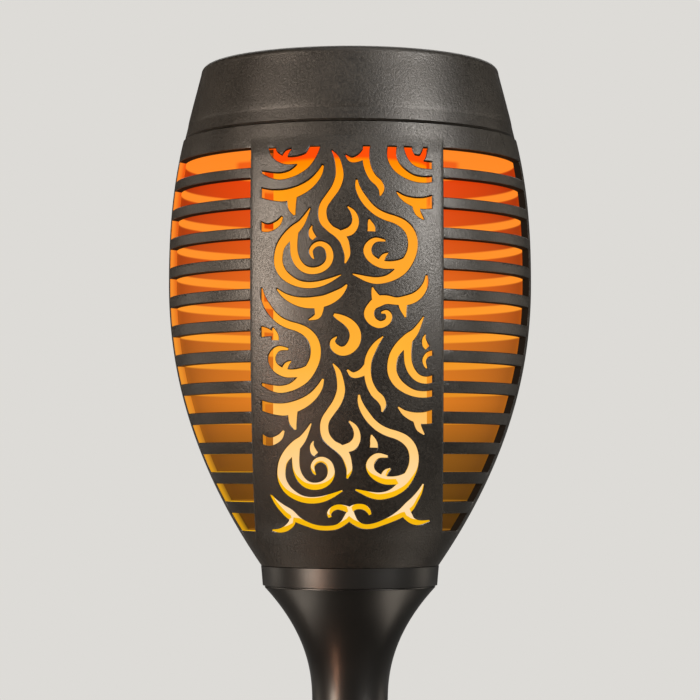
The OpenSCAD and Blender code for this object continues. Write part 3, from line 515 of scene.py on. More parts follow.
class Look:
    """A node material on one Principled shader. Its textures use the piece's own coordinates, in metres."""

    def __init__(self, name, colour, roughness, **sockets):
        self.material = bpy.data.materials.new(name)
        self.material.use_nodes = True
        self.nodes = self.material.node_tree.nodes
        self.links = self.material.node_tree.links
        self.shader = self.nodes["Principled BSDF"]
        self.shader.inputs["Base Color"].default_value = (*colour, 1)
        self.shader.inputs["Roughness"].default_value = roughness
        for socket, value in sockets.items():
            self.shader.inputs[socket.replace("_", " ")].default_value = value
        self.place = self.nodes.new("ShaderNodeTexCoord").outputs["Object"]

    def node(self, kind, **settings):
        made = self.nodes.new("ShaderNode" + kind)
        for key, value in settings.items():
            setattr(made, key, value)
        return made

    def feed(self, socket, source):
        """Sets a socket to another socket's value, or to a number or colour."""
        if isinstance(source, bpy.types.NodeSocket):
            self.links.new(source, socket)
        else:
            socket.default_value = source

    def maths(self, operation, a, b=0.0, c=0.0):
        made = self.node("Math", operation=operation)
        for socket, source in zip(made.inputs, (a, b, c)):
            self.feed(socket, source)
        return made.outputs[0]

    def noise(self, scale, detail=2.0, roughness=0.5, stretch=(1, 1, 1)):
        """Noise from 0 to 1 with features of about 1 / scale metres."""
        where = self.node("Mapping")
        self.feed(where.inputs["Vector"], self.place)
        where.inputs["Scale"].default_value = stretch
        made = self.node("TexNoise")
        self.feed(made.inputs["Vector"], where.outputs[0])
        made.inputs["Scale"].default_value = scale
        made.inputs["Detail"].default_value = detail
        made.inputs["Roughness"].default_value = roughness
        return made.outputs["Fac"]

    def spread(self, value, low, high, to_low=0.0, to_high=1.0):
        """Maps a value's range to another, and holds it at the ends."""
        made = self.node("MapRange")
        for socket, source in zip(made.inputs, (value, low, high, to_low, to_high)):
            self.feed(socket, source)
        return made.outputs[0]

    def even(self, noise, to_low=0.0, to_high=1.0):
        """Maps the middle of a noise's range, where most of it lies, to another range."""
        return self.spread(noise, 0.3, 0.7, to_low, to_high)

    def ramp(self, value, stops):
        """Colours by value, from (position, colour) stops."""
        made = self.node("ValToRGB")
        points = made.color_ramp.elements
        while len(points) < len(stops):
            points.new(0.5)
        for point, (position, colour) in zip(points, stops):
            point.position = position
            point.color = (*colour, 1)
        self.feed(made.inputs[0], value)
        return made.outputs["Color"]

    def mix(self, factor, a, b, mode="MIX"):
        made = self.node("Mix", data_type="RGBA", blend_type=mode)
        self.feed(made.inputs["Factor"], factor)
        for socket, colour in ((made.inputs["A"], a), (made.inputs["B"], b)):
            self.feed(socket, (*colour, 1) if isinstance(colour, tuple) else colour)
        return made.outputs["Result"]

    def axis(self, letter):
        """Position along an axis, in mm. Heights count from the seam."""
        split = self.node("SeparateXYZ")
        self.feed(split.inputs[0], self.place)
        start = SEAM if letter == "Z" else 0.0
        return self.maths("DIVIDE", self.maths("SUBTRACT", split.outputs[letter], start), MM)

    def by_height(self, stops):
        """Colours by height, from stops of a height in mm above the seam and a colour for seen()."""
        share = self.spread(self.axis("Z"), 0.0, CAGE_H)
        return self.ramp(share, [(height / CAGE_H, seen(*colour)) for height, *colour in stops])

    def wall_depth(self):
        """Depth below the cage's outer face, in mm."""
        h = self.axis("Z")
        below = self.spread(h, 0.0, BELLY_H, 1.0, 0.0)
        above = self.spread(h, BELLY_H, CAGE_H)
        reach = CAGE_R
        for share, curve, end_r in ((below, LOWER_CURVE, FOOT_R), (above, UPPER_CURVE, TOP_R)):
            drop = self.maths("MULTIPLY", self.maths("POWER", share, curve), CAGE_R - end_r)
            reach = self.maths("SUBTRACT", reach, drop)
        x, y = self.axis("X"), self.axis("Y")
        square = self.maths("ADD", self.maths("MULTIPLY", x, x), self.maths("MULTIPLY", y, y))
        return self.maths("SUBTRACT", reach, self.maths("SQRT", square))

    def bump(self, value, distance, strength):
        made = self.node("Bump")
        self.feed(made.inputs["Height"], value)
        made.inputs["Distance"].default_value = distance
        made.inputs["Strength"].default_value = strength
        self.feed(self.shader.inputs["Normal"], made.outputs[0])

    def set(self, socket, source):
        self.feed(self.shader.inputs[socket], source)


LOOKS = {}


def once(make):
    """Keeps the function that makes a material in LOOKS. It makes the material only once."""

    @functools.cache
    def made():
        return make().material

    LOOKS[make.__name__] = made
    return made


def shell_finish(look):
    """Fine-textured dark plastic with a bronze cast."""
    blotch = look.noise(55, 4, 0.6)
    grain = look.noise(1300, 3, 0.7)
    tone = look.mix(look.even(blotch), (0.0070, 0.0058, 0.0042), (0.0125, 0.0105, 0.0078))
    speck = look.mix(look.spread(grain, 0.35, 0.7), (0.55, 0.55, 0.55), (1.6, 1.6, 1.57))
    look.set("Base Color", look.mix(1.0, tone, speck, "MULTIPLY"))
    uneven = look.maths("MULTIPLY_ADD", blotch, 0.35, look.maths("MULTIPLY", grain, 0.65))
    look.set("Roughness", look.spread(uneven, 0.38, 0.62, 0.35, 0.53))
    look.bump(grain, 0.00015, 0.8)
    return look


@once
def shell_plastic():
    return shell_finish(Look("shell_plastic", (0.016, 0.014, 0.011), 0.44, Specular_IOR_Level=0.62))


# Colours of painted light and painted shade by height, for the sheets, the cage's inner face and the cuts'
# faces
SHEET_LIGHT = [
    (10, 120, 80, 22), (23, 150, 100, 22), (39, 205, 132, 32), (55, 228, 142, 36), (75, 250, 158, 42),
    (95, 255, 146, 40), (125, 255, 138, 38), (140, 255, 134, 34)]
SHEET_SHADE = [
    (10, 86, 60, 16), (23, 114, 77, 20), (39, 156, 98, 28), (55, 222, 126, 34), (71, 208, 114, 32),
    (86, 224, 104, 26), (97, 218, 92, 20), (105, 214, 80, 14), (116, 216, 70, 8), (128, 226, 62, 2),
    (138, 240, 62, 2)]
RIB_LIGHT = [
    (8, 208, 152, 4), (30, 214, 150, 22), (48, 226, 146, 40), (70, 240, 148, 42), (100, 250, 140, 40),
    (140, 255, 132, 34)]


@once
def cut_edges():
    """The cuts' faces, with painted light: gold at the foot, where light from inside would fall on them, and
    dark above.

    The ribs' ends on the left, as seen from the front or the back, have painted light all the way up, and
    the slots on the right only a dim painted shade.
    """
    look = Look("shell_cut_painted_light", (0.004, 0.0035, 0.003), 0.8, Emission_Strength=1.0, Specular_IOR_Level=0.05)
    tone = look.even(look.noise(55, 4, 0.6))
    look.set("Base Color", look.mix(tone, (0.003, 0.0026, 0.002), (0.005, 0.0044, 0.0036)))
    # Painted light on the cuts' faces, gold at the foot and dark above
    glow = look.by_height([
        (0, 235, 175, 10), (33, 255, 192, 4), (42, 200, 130, 10), (60, 110, 62, 10), (85, 34, 20, 8),
        (120, 20, 12, 7)])
    x, y = look.axis("X"), look.axis("Y")
    from_rib = look.maths("ABSOLUTE", look.maths("SUBTRACT", look.maths("ABSOLUTE", y), RIB_HALF))
    on_left = look.maths("GREATER_THAN", look.maths("MULTIPLY", x, y), 0.0)
    in_bay = look.maths("GREATER_THAN", look.maths("ABSOLUTE", x), WINDOW_HALF + 1.0)
    in_shade = look.maths("MULTIPLY", in_bay, look.maths("SUBTRACT", 1.0, on_left))
    # Painted light on the ribs' ends on the left, and painted shade on the slots on the right
    painted_rib_light = look.maths("MULTIPLY", look.spread(from_rib, 0.2, 0.3, 1.0, 0.0), on_left)
    fade = look.spread(look.wall_depth(), 0.9, 2.4, 0.0, 0.85)
    lit = look.mix(painted_rib_light, glow, look.mix(fade, look.by_height(RIB_LIGHT), look.by_height(SHEET_SHADE)))
    look.set("Emission Color", look.mix(in_shade, lit, seen(24, 16, 9)))
    return look


@once
def inner_shell():
    """The cage's inner face, with painted light standing for the even light from the middle."""
    look = shell_finish(Look("shell_inner_painted_light", (0.016, 0.014, 0.011), 0.5, Emission_Strength=1.0))
    cloud = look.even(look.noise(60, 3, 0.5))
    # Painted light by height on the inner face
    look.set("Emission Color", look.mix(cloud, look.by_height(SHEET_LIGHT), (0.92, 0.88, 0.85), "MULTIPLY"))
    return look


@once
def pole_plastic():
    look = Look("pole_plastic", (0.012, 0.012, 0.0115), 0.3, Specular_IOR_Level=0.55)
    blotch = look.noise(30, 3, 0.55)
    drawn = look.noise(220, 3, 0.6, stretch=(1, 1, 0.04))
    look.set("Base Color", look.mix(look.even(blotch), (0.0032, 0.0030, 0.0027), (0.0060, 0.0056, 0.0050)))
    look.set("Roughness", look.even(blotch, 0.29, 0.40))
    look.bump(drawn, 0.00003, 0.35)
    return look


@once
def frosted_tube():
    """Frosted plastic, lit from inside: pale at the foot, orange above, red at its very top."""
    look = Look("frosted_tube", (0.10, 0.06, 0.03), 0.5, Emission_Strength=1.0)
    cloud = look.even(look.noise(60, 3, 0.5))
    glow = look.by_height([
        (0, 255, 228, 185), (26, 255, 222, 170), (39, 254, 209, 134), (55, 252, 193, 93),
        (71, 253, 180, 56), (108, 253, 168, 46), (132, 255, 156, 12), (137, 255, 138, 0),
        (137.8, 255, 76, 8)])
    look.set("Emission Color", look.mix(cloud, glow, (0.95, 0.92, 0.88), "MULTIPLY"))
    look.bump(look.noise(900), 0.00003, 0.4)
    return look


EYE_H = 33.6             # the photograph was taken from this height
EYE_AWAY = 866.0         # and from this distance, in mm


@once
def amber_liner():
    """Thin amber sheets with a painted glow from inside, and the far side's slots and slats painted on as
    bands of light and shade.

    A far slot seen from the photograph's place falls at another height on the near sheet, and the
    difference grows towards the front, which slants the bands.
    """
    look = Look("amber_sheet", (0.03, 0.008, 0.002), 0.5, Emission_Strength=1.0, Specular_IOR_Level=0.02)
    depth = look.maths("ABSOLUTE", look.axis("Y"))
    above_eye = look.maths("SUBTRACT", look.axis("Z"), EYE_H)
    growth = look.maths("DIVIDE", look.maths("ADD", EYE_AWAY, depth), look.maths("SUBTRACT", EYE_AWAY, depth))
    far = look.maths("MULTIPLY", above_eye, growth)
    down = look.maths("SUBTRACT", SLOT_TOP - EYE_H, far)
    share = look.maths("FRACT", look.maths("DIVIDE", down, SLOT_PITCH))
    # Painted light in bands: the lit upper part of each far slat, and the far side's head above its top slot
    slat_top, slat_lit, soft = SLOT_OPEN / SLOT_PITCH, 0.89, 0.03
    middle, half = (slat_top + slat_lit) / 2, (slat_lit - slat_top) / 2
    off_middle = look.maths("ABSOLUTE", look.maths("SUBTRACT", share, middle))
    slat = look.spread(off_middle, half - soft, half + soft, 1.0, 0.0)
    head = look.spread(far, SLOT_TOP + 1.3 - EYE_H, SLOT_TOP + 1.8 - EYE_H)
    across = look.maths("ABSOLUTE", look.axis("X"))
    # A small patch of painted shade in the first slot, next to the panel
    painted_shade_patch = look.maths("MULTIPLY", look.spread(across, 35.4, 37.2, 0.7, 0.0),
                       look.spread(look.axis("Z"), 133.2, 134.2, 1.0, 0.0))
    head = look.maths("SUBTRACT", head, painted_shade_patch)
    # A painted bright strip along the sheets' front edges, beside the window
    painted_front_strip = look.spread(across, 27.7, 28.3, 0.9, 0.0)
    light = look.maths("MAXIMUM", look.maths("MAXIMUM", slat, head), painted_front_strip)
    bright = look.by_height(SHEET_LIGHT)
    # Painted shade: the dark bands darken towards the ribs at the sides
    shade = look.spread(depth, 18.0, 50.0, 0.5, 1.0)
    dim = look.mix(shade, (0.0, 0.0, 0.0), look.by_height(SHEET_SHADE))
    look.set("Emission Color", look.mix(light, dim, bright))
    look.bump(look.noise(500), 0.00002, 0.3)
    return look


def moulded(name, colour, roughness, grain=900, variation=0.12):
    """Plain moulded plastic or painted metal with slight unevenness."""
    look = Look(name, colour, roughness)
    blotch = look.noise(90, 3, 0.6)
    darker = tuple(c * (1 - variation) for c in colour)
    lighter = tuple(min(1, c * (1 + variation)) for c in colour)
    look.set("Base Color", look.mix(look.even(blotch), darker, lighter))
    look.set("Roughness", look.even(blotch, roughness - 0.05, roughness + 0.08))
    look.bump(look.noise(grain), 0.00003, 0.35)
    return look


# Colour, roughness, and the grain and variation where they aren't moulded's own
PLAIN = {
    "seal_rubber": [(0.09, 0.09, 0.085), 0.7, 1400], "backing_board": [(0.78, 0.78, 0.74), 0.45, 900, 0.04],
    "board_component": [(0.02, 0.02, 0.02), 0.4], "battery_wrap": [(0.05, 0.16, 0.42), 0.28, 300],
    "white_plastic": [(0.72, 0.72, 0.68), 0.42, 900, 0.05], "button_plastic": [(0.38, 0.03, 0.02), 0.38],
    "lead_sleeve": [(0.35, 0.03, 0.025), 0.45, 500],
}


@functools.cache
def plain(slot):
    return moulded(slot, *PLAIN[slot]).material


@once
def solar_cell():
    """Silicon with fine silver fingers across and two busbars along each strip."""
    look = Look("solar_cell", (0.012, 0.02, 0.06), 0.25, Coat_Weight=0.3)
    split = look.node("SeparateXYZ")
    look.feed(split.inputs[0], look.place)
    crystal = look.node("TexVoronoi")
    look.feed(crystal.inputs["Vector"], look.place)
    crystal.inputs["Scale"].default_value = 220
    tint = look.spread(crystal.outputs["Color"], 0, 1)
    silicon = look.mix(tint, (0.008, 0.014, 0.045), (0.02, 0.035, 0.10))
    finger_pitch, strip_pitch = 1.6 * MM, 11 * MM

    def line(value, pitch, share, offset=0.0):
        cell = look.maths("FRACT", look.maths("DIVIDE", look.maths("ADD", value, offset), pitch))
        return look.maths("LESS_THAN", look.maths("ABSOLUTE", look.maths("SUBTRACT", cell, 0.5)), share)

    fingers = line(split.outputs["Y"], finger_pitch, 0.045)
    bars = line(split.outputs["X"], strip_pitch / 2, 0.07, strip_pitch / 4)
    metal = look.maths("MAXIMUM", fingers, bars)
    look.set("Base Color", look.mix(metal, silicon, (0.55, 0.56, 0.58)))
    look.set("Metallic", look.maths("MULTIPLY", metal, 0.8))
    look.bump(metal, 0.00003, 0.6)
    return look


@once
def solar_window():
    look = Look("solar_window", (0.012, 0.016, 0.03), 0.08, Alpha=0.3)
    look.set("Roughness", look.even(look.noise(25, 3), 0.05, 0.12))
    look.bump(look.noise(60, 4), 0.00002, 0.3)
    return look


@once
def circuit_board():
    look = moulded("circuit_board", (0.03, 0.16, 0.06), 0.3)
    track = look.node("TexBrick")
    look.feed(track.inputs["Vector"], look.place)
    track.inputs["Scale"].default_value = 160
    joint = look.spread(track.outputs["Fac"], 0, 1)
    look.set("Base Color", look.mix(joint, (0.025, 0.14, 0.05), (0.045, 0.24, 0.09)))
    return look


@once
def light_chip():
    """Yellow phosphor in a clear lens, lit."""
    look = Look("light_chip", (0.9, 0.7, 0.25), 0.2, Emission_Strength=1.0)
    glow = look.even(look.noise(800))
    look.set("Emission Color", look.mix(glow, (1.0, 0.62, 0.2), (1.0, 0.76, 0.36)))
    return look


@once
def screw_steel():
    look = Look("screw_steel", (0.55, 0.55, 0.53), 0.32, Metallic=1.0)
    look.set("Roughness", look.even(look.noise(700, 3), 0.25, 0.45))
    look.bump(look.noise(1800), 0.00002, 0.3)
    return look


@once
def contact_nickel():
    look = Look("contact_nickel", (0.66, 0.64, 0.6), 0.2, Metallic=1.0)
    look.set("Roughness", look.even(look.noise(300, 3, stretch=(1, 1, 8)), 0.14, 0.3))
    return look


@once
def housing_plastic():
    """The dark housing under the cap. Painted red light on its lowest edge stands for the light inside."""
    look = Look("housing_plastic", (0.03, 0.028, 0.025), 0.5, Emission_Strength=1.0)
    blotch = look.noise(90, 3, 0.6)
    look.set("Base Color", look.mix(look.even(blotch), (0.026, 0.024, 0.021), (0.034, 0.032, 0.028)))
    # Painted red light along the housing's lowest edge
    look.set("Emission Color", look.by_height([(144.6, 228, 70, 4), (145.4, 0, 0, 0)]))
    look.bump(look.noise(1300), 0.00003, 0.35)
    return look


def dress_frame():
    """Gives each CAD node the look of its slot in the record."""
    for subpart in frame["record"]["subparts"]:
        mesh, slot = frame["nodes"][subpart["node"]].data, subpart["material_slot"]
        mesh.materials.clear()
        mesh.materials.append(LOOKS[slot]() if slot in LOOKS else plain(slot))


def inner_height(h):
    """Heights of the inner face: it starts at the floor and ends under the ledge."""
    foot_zone, head_zone = 9.0, 138.0
    low = FLOOR_T + h * (foot_zone - FLOOR_T) / foot_zone
    high = head_zone + (h - head_zone) * (LEDGE_FOOT - head_zone) / (RIM_H - head_zone)
    return np.where(h < foot_zone, low, np.where(h > head_zone, high, h))


NOTCH_HALF_W = 8.5       # half width of an entry notch in the bayonet ledge
NOTCH_R = 53.6

# The cuts' lower faces slope below DRAFT_TOP, more with each mm down, and less so in the slots
DRAFT_TOP, DRAFT_RATE, DRAFT_MAX, SLOT_DRAFT_SHARE = 37.0, 0.24, 1.8, 0.08
# The slots' upper edges rise above LIP_FOOT. The rise fades out over LIP_REACH above each slot
LIP_FOOT, LIP_RATE, LIP_REACH, LIP_INNER_SHARE = 50.0, 0.0075, 2.2, 0.35


def lip_rise(p, h):
    """How far the outer face's corners move up just above each slot, more so near the head."""
    rise = np.zeros(len(h))
    for _, top in slot_spans():
        near = np.clip(1 - (h - top) / LIP_REACH, 0, 1) * (h > top - 0.01)
        rise = np.maximum(rise, near * max(0, LIP_RATE * (top - LIP_FOOT)))
    off_bay = np.maximum(PANEL_HALF - np.abs(p), np.abs(p) - PANEL_HALF - BAY)
    return rise * np.clip(1 - off_bay, 0, 1)


def ledge_radii(angle, turn):
    """Inner radius of the ledge at each angle from the front, with its entry notches."""
    radii = np.full(len(angle), LEDGE_R)
    for i in range(LUGS):
        away = (angle + turn - math.pi / 2 - i * 2 * math.pi / LUGS + math.pi) % (2 * math.pi) - math.pi
        radii[np.abs(away) < NOTCH_HALF_W / LEDGE_R] = NOTCH_R
    return radii


OUTSIDE, CUT, INSIDE = 0, 1, 2      # the cage's materials


def wall_half(layout, tris, cuts, gap, turn):
    """Half of the cage, turned about the axis: corners, faces and each face's material."""
    p, h = layout[:, 0], layout[:, 1]
    rise = lip_rise(p, h)
    outer_r = cage_r(h + rise) + panel_rise(p, h)
    if turn == 0:
        outer_r = np.where(off_groove(layout) < 0.02, outer_r - GROOVE_DEPTH, outer_r)
    outer = on_wall(p, h + rise, outer_r)
    sunk = np.unique(cuts)
    outer[sunk, :2] *= 1 - EDGE_ROUND / outer_r[sunk, None]

    # Near the foot, the cuts' lower faces slope, which shows them from the front
    in_bay = np.abs(p) > WINDOW_HALF + 0.1
    slope = np.clip(DRAFT_RATE * (DRAFT_TOP - h), 0, DRAFT_MAX) * np.clip(gap[:, 1], 0, 1)
    slope = np.where(in_bay, SLOT_DRAFT_SHARE * slope, slope)
    h_in = inner_height(h + gap[:, 1] * slope + LIP_INNER_SHARE * rise)
    inner = on_wall(p + gap[:, 0] * slope, h_in, cage_r(h_in) - WALL)
    count = len(layout)
    verts = [outer, inner]
    faces = tris.tolist() + (tris[:, ::-1] + count).tolist()
    faces += [[a, b, b + count, a + count] for a, b in cuts.tolist()]
    lit = [OUTSIDE] * len(tris) + [INSIDE] * len(tris) + [CUT] * len(cuts)

    def close(row_h, seat_r, corners):
        """Closes the wall at its foot or rim through turned corners, from its inner to its outer face."""
        row = np.nonzero(np.abs(h - row_h) < 0.001)[0]
        row = row[np.argsort(p[row])]
        wide = np.ones(len(row))
        angle = angle_at(p[row], seat_r * wide)
        rows = [row + count]
        for radius, height in corners:
            radii = ledge_radii(angle, turn) if radius == LEDGE_R else radius * wide
            start = sum(len(v) for v in verts)
            verts.append(np.stack([radii * np.sin(angle), -radii * np.cos(angle), height * wide], 1))
            rows.append(np.arange(start, start + len(row)))
        rows.append(row)
        for a, b in zip(rows, rows[1:]):
            quads = np.stack([a[:-1], a[1:], b[1:], b[:-1]], 1).tolist()
            faces.extend(quads)
            lit.extend([OUTSIDE] * len(quads))

    socket_out, rim_r = SOCKET_R + SOCKET_WALL, TOP_R - WALL
    socket = [(socket_out, FLOOR_T), (socket_out, SOCKET_H), (SOCKET_R, SOCKET_H), (SOCKET_R, 0)]
    close(0, FOOT_R - WALL, socket)
    close(RIM_H, TOP_R, [(LEDGE_R, LEDGE_FOOT), (LEDGE_R, LEDGE_TOP), (rim_r, LEDGE_TOP), (rim_r, RIM_H)])
    verts = np.vstack(verts)
    c, s = math.cos(turn), math.sin(turn)
    verts = np.stack([c * verts[:, 0] - s * verts[:, 1], s * verts[:, 0] + c * verts[:, 1], verts[:, 2]], 1)
    return verts.tolist(), faces, lit


def make_cage():
    wall = wall_layout()
    front, back = wall_half(*wall, 0), wall_half(*wall, math.pi)
    stop_half, stop_h, overlap = 1.2, 2.4, 0.1
    low = [LEDGE_R + 0.5, -stop_half, LEDGE_FOOT - stop_h]
    high = [TOP_R - WALL + 0.6, stop_half, LEDGE_FOOT + overlap]
    stops = [block(low, high, math.radians(i * 360 / LUGS - 30)) for i in range(LUGS)]
    verts, faces = join(front[:2], back[:2], *stops)
    lit = front[2] + back[2]
    lit += [OUTSIDE] * (len(faces) - len(lit))     # the stops
    looks = [shell_plastic(), cut_edges(), inner_shell()]
    cage = mesh_object("lantern_cage", verts, faces, looks, face_materials=lit)
    weigh_normals(cage)
    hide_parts("cage")
    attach(cage, "lantern")


def make_liner():
    """Two amber side sheets. They reach just past the window's sides, beyond the tube's edge."""
    half, foot, top, thickness, clearance = 26.9, 4.0, 138.0, 0.8, 0.3
    heights = np.linspace(foot, top, 44)
    outer = cage_r(heights) - WALL - clearance
    radii = np.concatenate([outer, outer[::-1] - thickness])
    heights = np.concatenate([heights, heights[::-1]])
    rows, columns = len(radii), 61
    faces = grid_faces(rows, columns, closed=False)
    faces += [[i * columns + k for i in range(rows)] for k in (0, columns - 1)]
    parts = []
    for side in (-1, 1):
        start = np.arcsin(half / radii)[:, None]
        angle = side * (start + (math.pi - 2 * start) * np.linspace(0, 1, columns))
        r, h = radii[:, None] + 0 * angle, heights[:, None] + 0 * angle
        verts = np.stack([r * np.sin(angle), -r * np.cos(angle), h], 2).reshape(-1, 3).tolist()
        parts.append((verts, faces))
    verts, faces = join(*parts)
    liner = mesh_object("side_sheets", verts, faces, [amber_liner()])
    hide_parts("flame_liner")
    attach(liner, "lantern")


# ---- cap and neck -------------------------------------------------------------------------------

CAP_TOP = CAGE_H + CAP_H
CAP_WALL = 2.4
CORNER_R = 2.4
RECESS_Z = CAP_TOP - 2.8
PLATE_Z = RECESS_Z - 1.8
CREASE_H = 150.6         # a faint crease runs round the cap here, and the cap swells a little above it
SWELL = 0.16
CAP_BEVEL = 0.7
SEAL_GAP = 0.03
BOSS_REACH, BOSS_R, BOSS_BORE = 43.0, 3.4, 1.35


def arc(centre, radius, start, end, steps):
    """Points of an arc in the profile's plane, in degrees."""
    return [
        (centre[0] + radius * math.cos(math.radians(a)), centre[1] + radius * math.sin(math.radians(a)))
        for a in np.linspace(start, end, steps + 1)
    ]


def cap_r(h):
    return CAP_FOOT_R + (CAP_TOP_R - CAP_FOOT_R) * (h - CAGE_H) / CAP_H


def make_cap():
    shoulder, lip, foot = CAP_TOP - CORNER_R, 0.4, CAGE_H + SEAL_GAP
    corner = (cap_r(shoulder) - CORNER_R, shoulder)
    profile = [(CAP_FOOT_R - CAP_WALL, foot), (CAP_FOOT_R - CAP_BEVEL, foot)]
    profile += [(cap_r(h), h) for h in (CAGE_H + CAP_BEVEL, CAGE_H + 1.5, CREASE_H - 0.4, CREASE_H)]
    swells = [(0.35, 0.3), (1.0, 0.7), (2.2, 1.0), (4.0, 1.0), (8.0, 0.85), (14.0, 0.35)]
    profile += [(cap_r(CREASE_H + up) + SWELL * share, CREASE_H + up) for up, share in swells]
    profile += [(cap_r(shoulder - 0.6), shoulder - 0.6)]
    profile += arc(corner, CORNER_R, 8, 90, 10)
    profile += arc((SOLAR_R + lip, CAP_TOP - lip), lip, 90, 180, 4)
    profile += [(SOLAR_R, RECESS_Z), (0, RECESS_Z), (0, PLATE_Z), (cap_r(PLATE_Z) - CAP_WALL, PLATE_Z)]
    lid_z, root_z = CAGE_H + 1.6, PLATE_Z + 0.2
    verts, faces = turned([(BOSS_BORE, lid_z), (BOSS_R, lid_z), (BOSS_R, root_z), (BOSS_BORE, root_z)], 32)
    bosses = []
    for angle in np.radians([45, 135, 225, 315]):
        x, y = BOSS_REACH * math.cos(angle), BOSS_REACH * math.sin(angle)
        bosses.append(([[v[0] + x, v[1] + y, v[2]] for v in verts], faces))
    verts, faces = join(turned(profile, 256), *bosses)
    cap = mesh_object("cap_shell", verts, faces, [shell_plastic()], sharp=28)
    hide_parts("top_cap")
    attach(cap, "cap")


def make_neck():
    def flare_r(h):
        return NECK_FOOT_R + (FLARE_R - NECK_FOOT_R) * ((h + NECK_H) / (NECK_H + FLARE_TOP)) ** 2.2

    neck_wall, socket_r, cavity_foot, edge = 3.0, 11.5, -NECK_H + 28, 0.3
    collar_r, collar_plate, groove_r = 30.6, 2.4, FLARE_R - 0.25
    spigot_r, spigot_h, spigot_in, bevel = 21.9, 10.0, 19.9, 0.6
    profile = [(socket_r, -NECK_H), (NECK_FOOT_R - edge, -NECK_H), (NECK_FOOT_R, -NECK_H + edge)]
    profile += [(flare_r(h), h) for h in np.linspace(-NECK_H + 1, FLARE_TOP, 44)]
    profile += [(groove_r, FLARE_TOP + 0.1), (groove_r, FLARE_TOP + 0.35)]
    profile += [(30.0, FLARE_TOP + 0.65), (30.05, FLARE_TOP + 1.0), (30.3, -3.5), (collar_r, -edge),
                (30.35, 0), (spigot_r, 0), (spigot_r, spigot_h - bevel), (spigot_r - bevel, spigot_h),
                (spigot_in, spigot_h), (spigot_in, -collar_plate),
                (collar_r - neck_wall, -collar_plate), (collar_r - neck_wall, FLARE_TOP + 0.5)]
    profile += [(flare_r(h) - neck_wall, h) for h in np.linspace(FLARE_TOP, cavity_foot + 1, 12)]
    profile += [(socket_r, cavity_foot)]
    verts, faces = turned(profile, 256)
    neck = mesh_object("neck_flare", verts, faces, [pole_plastic()], sharp=28)
    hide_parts("neck")
    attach(neck, "neck_body")


# ---- camera, lights and floor -------------------------------------------------------------------


def aimed(name, data, azimuth, height, distance, aim):
    """A camera or lamp facing the axis at a height aim. Azimuth is from the front, towards +X."""
    made = bpy.data.objects.new(name, data)
    a = math.radians(azimuth)
    made.location = (distance * math.sin(a), -distance * math.cos(a), height)
    target = Vector((0, 0, SEAM + aim * MM))
    made.rotation_mode = "QUATERNION"
    made.rotation_quaternion = (target - made.location).to_track_quat("-Z", "Y")
    bpy.context.scene.collection.objects.link(made)
    return made


def make_camera():
    """The photograph's view: near level with the lantern's foot, looking a little up."""
    data = bpy.data.cameras.new("camera")
    data.sensor_width = 36
    data.lens = 129
    swing, aim = 1.1, 74
    bpy.context.scene.camera = aimed("camera", data, swing, SEAM + EYE_H * MM, EYE_AWAY * MM, aim)


def softbox(name, azimuth, height, distance, width, length, power, colour, spread=140, aim=60):
    data = bpy.data.lights.new(name, "AREA")
    data.shape = "RECTANGLE"
    data.size, data.size_y = width, length
    data.energy = power
    data.color = colour
    data.spread = math.radians(spread)
    aimed(name, data, azimuth, height, distance, aim)


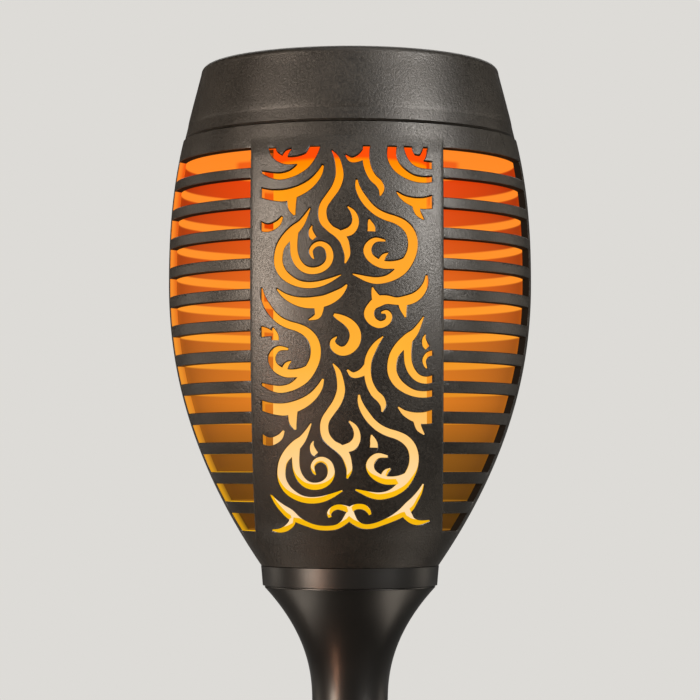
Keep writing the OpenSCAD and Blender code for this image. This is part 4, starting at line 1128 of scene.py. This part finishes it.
def make_lights():
    middle = SEAM + 80 * MM
    warm, mellow, white, cool = (1.0, 0.83, 0.68), (1.0, 0.88, 0.74), (1.0, 0.98, 0.95), (1.0, 0.94, 0.87)
    coppery = (1.0, 0.46, 0.26)
    # Name, azimuth, height, distance, width, length, power, colour, spread, aim
    softbox("key_left", -49, middle + 0.08, 1.1, 0.36, 0.75, 5.6, warm, 100)
    softbox("key_right", 50, middle + 0.36, 1.1, 0.34, 0.75, 5.6, cool, 100)
    for side in (-1, 1):
        softbox("side_high", side * 109, SEAM + 0.12, 1.0, 0.4, 0.5, 0.5, mellow, 110)
        softbox("side_low", side * 112, SEAM - 0.6, 0.4, 0.2, 0.3, 0.17, mellow, 100, 0)
    softbox("neck_strip", -40, SEAM - 0.24, 0.5, 0.03, 0.42, 0.11, coppery, 60, -40)
    softbox("top_soft", 10, middle + 1.1, 0.5, 0.9, 0.9, 2, white)
    softbox("back_soft", 180, middle + 1.0, 1.2, 1.2, 1.2, 5, white)
    world = bpy.data.worlds.new("studio")
    bpy.context.scene.world = world
    world.use_nodes = True
    nodes, links = world.node_tree.nodes, world.node_tree.links
    mix = nodes.new("ShaderNodeMixShader")
    links.new(nodes.new("ShaderNodeLightPath").outputs["Is Camera Ray"], mix.inputs["Fac"])
    cast, shown = nodes["Background"], nodes.new("ShaderNodeBackground")
    for background, strength, socket in ((cast, 0.045, mix.inputs[1]), (shown, 1.0, mix.inputs[2])):
        background.inputs["Color"].default_value = (*PAPER, 1)
        background.inputs["Strength"].default_value = strength
        links.new(background.outputs[0], socket)
    links.new(mix.outputs[0], nodes["World Output"].inputs["Surface"])


PAPER = seen(221, 219, 215)
FLOOR_R, FLOOR_DROP = 8.5, 0.5 * MM      # in metres


def make_floor():
    """A pale floor that blends into the background. It throws little light back at the torch."""
    mesh = bpy.data.meshes.new("floor")
    work = bmesh.new()
    bmesh.ops.create_circle(work, cap_ends=True, radius=FLOOR_R, segments=128)
    bmesh.ops.translate(work, verts=work.verts, vec=(0, 0, GROUND - FLOOR_DROP))
    work.to_mesh(mesh)
    work.free()
    floor = bpy.data.objects.new("floor", mesh)
    look = Look("floor_paper", (0.6, 0.6, 0.6), 0.9, Emission_Strength=1.0, Specular_IOR_Level=0.1)
    span = look.node("VectorMath", operation="LENGTH")
    look.feed(span.inputs[0], look.place)
    away = look.spread(span.outputs["Value"], 0.0, FLOOR_R)
    mottle = look.spread(look.noise(3, 4), 0.3, 0.7)
    near = look.mix(mottle, (0.31, 0.305, 0.295), (0.34, 0.335, 0.325))
    paper = look.mix(away, near, (0.0, 0.0, 0.0))
    looked_at = look.node("LightPath").outputs["Is Camera Ray"]
    look.set("Base Color", look.mix(looked_at, look.mix(0.65, paper, (0.0, 0.0, 0.0)), paper))

    def glow(stops):
        return look.ramp(away, [(share, tuple(c * part for c in PAPER)) for share, part in stops])

    cast = glow(((0.0, 0.03), (0.15, 0.06), (0.35, 0.14), (0.6, 0.3), (1.0, 0.5)))
    shown = glow(((0.0, 0.62), (0.15, 0.74), (0.35, 0.9), (0.6, 1.0)))
    look.set("Emission Color", look.mix(looked_at, cast, shown))
    mesh.materials.append(look.material)
    bpy.context.scene.collection.objects.link(floor)


# ---- build --------------------------------------------------------------------------------------

make_camera()
bpy.context.scene.view_settings.view_transform = "Standard"
dress_frame()
make_cage()
make_liner()
make_cap()
make_neck()
make_floor()
make_lights()


def corners(box):
    return [list(corner) for corner in box]
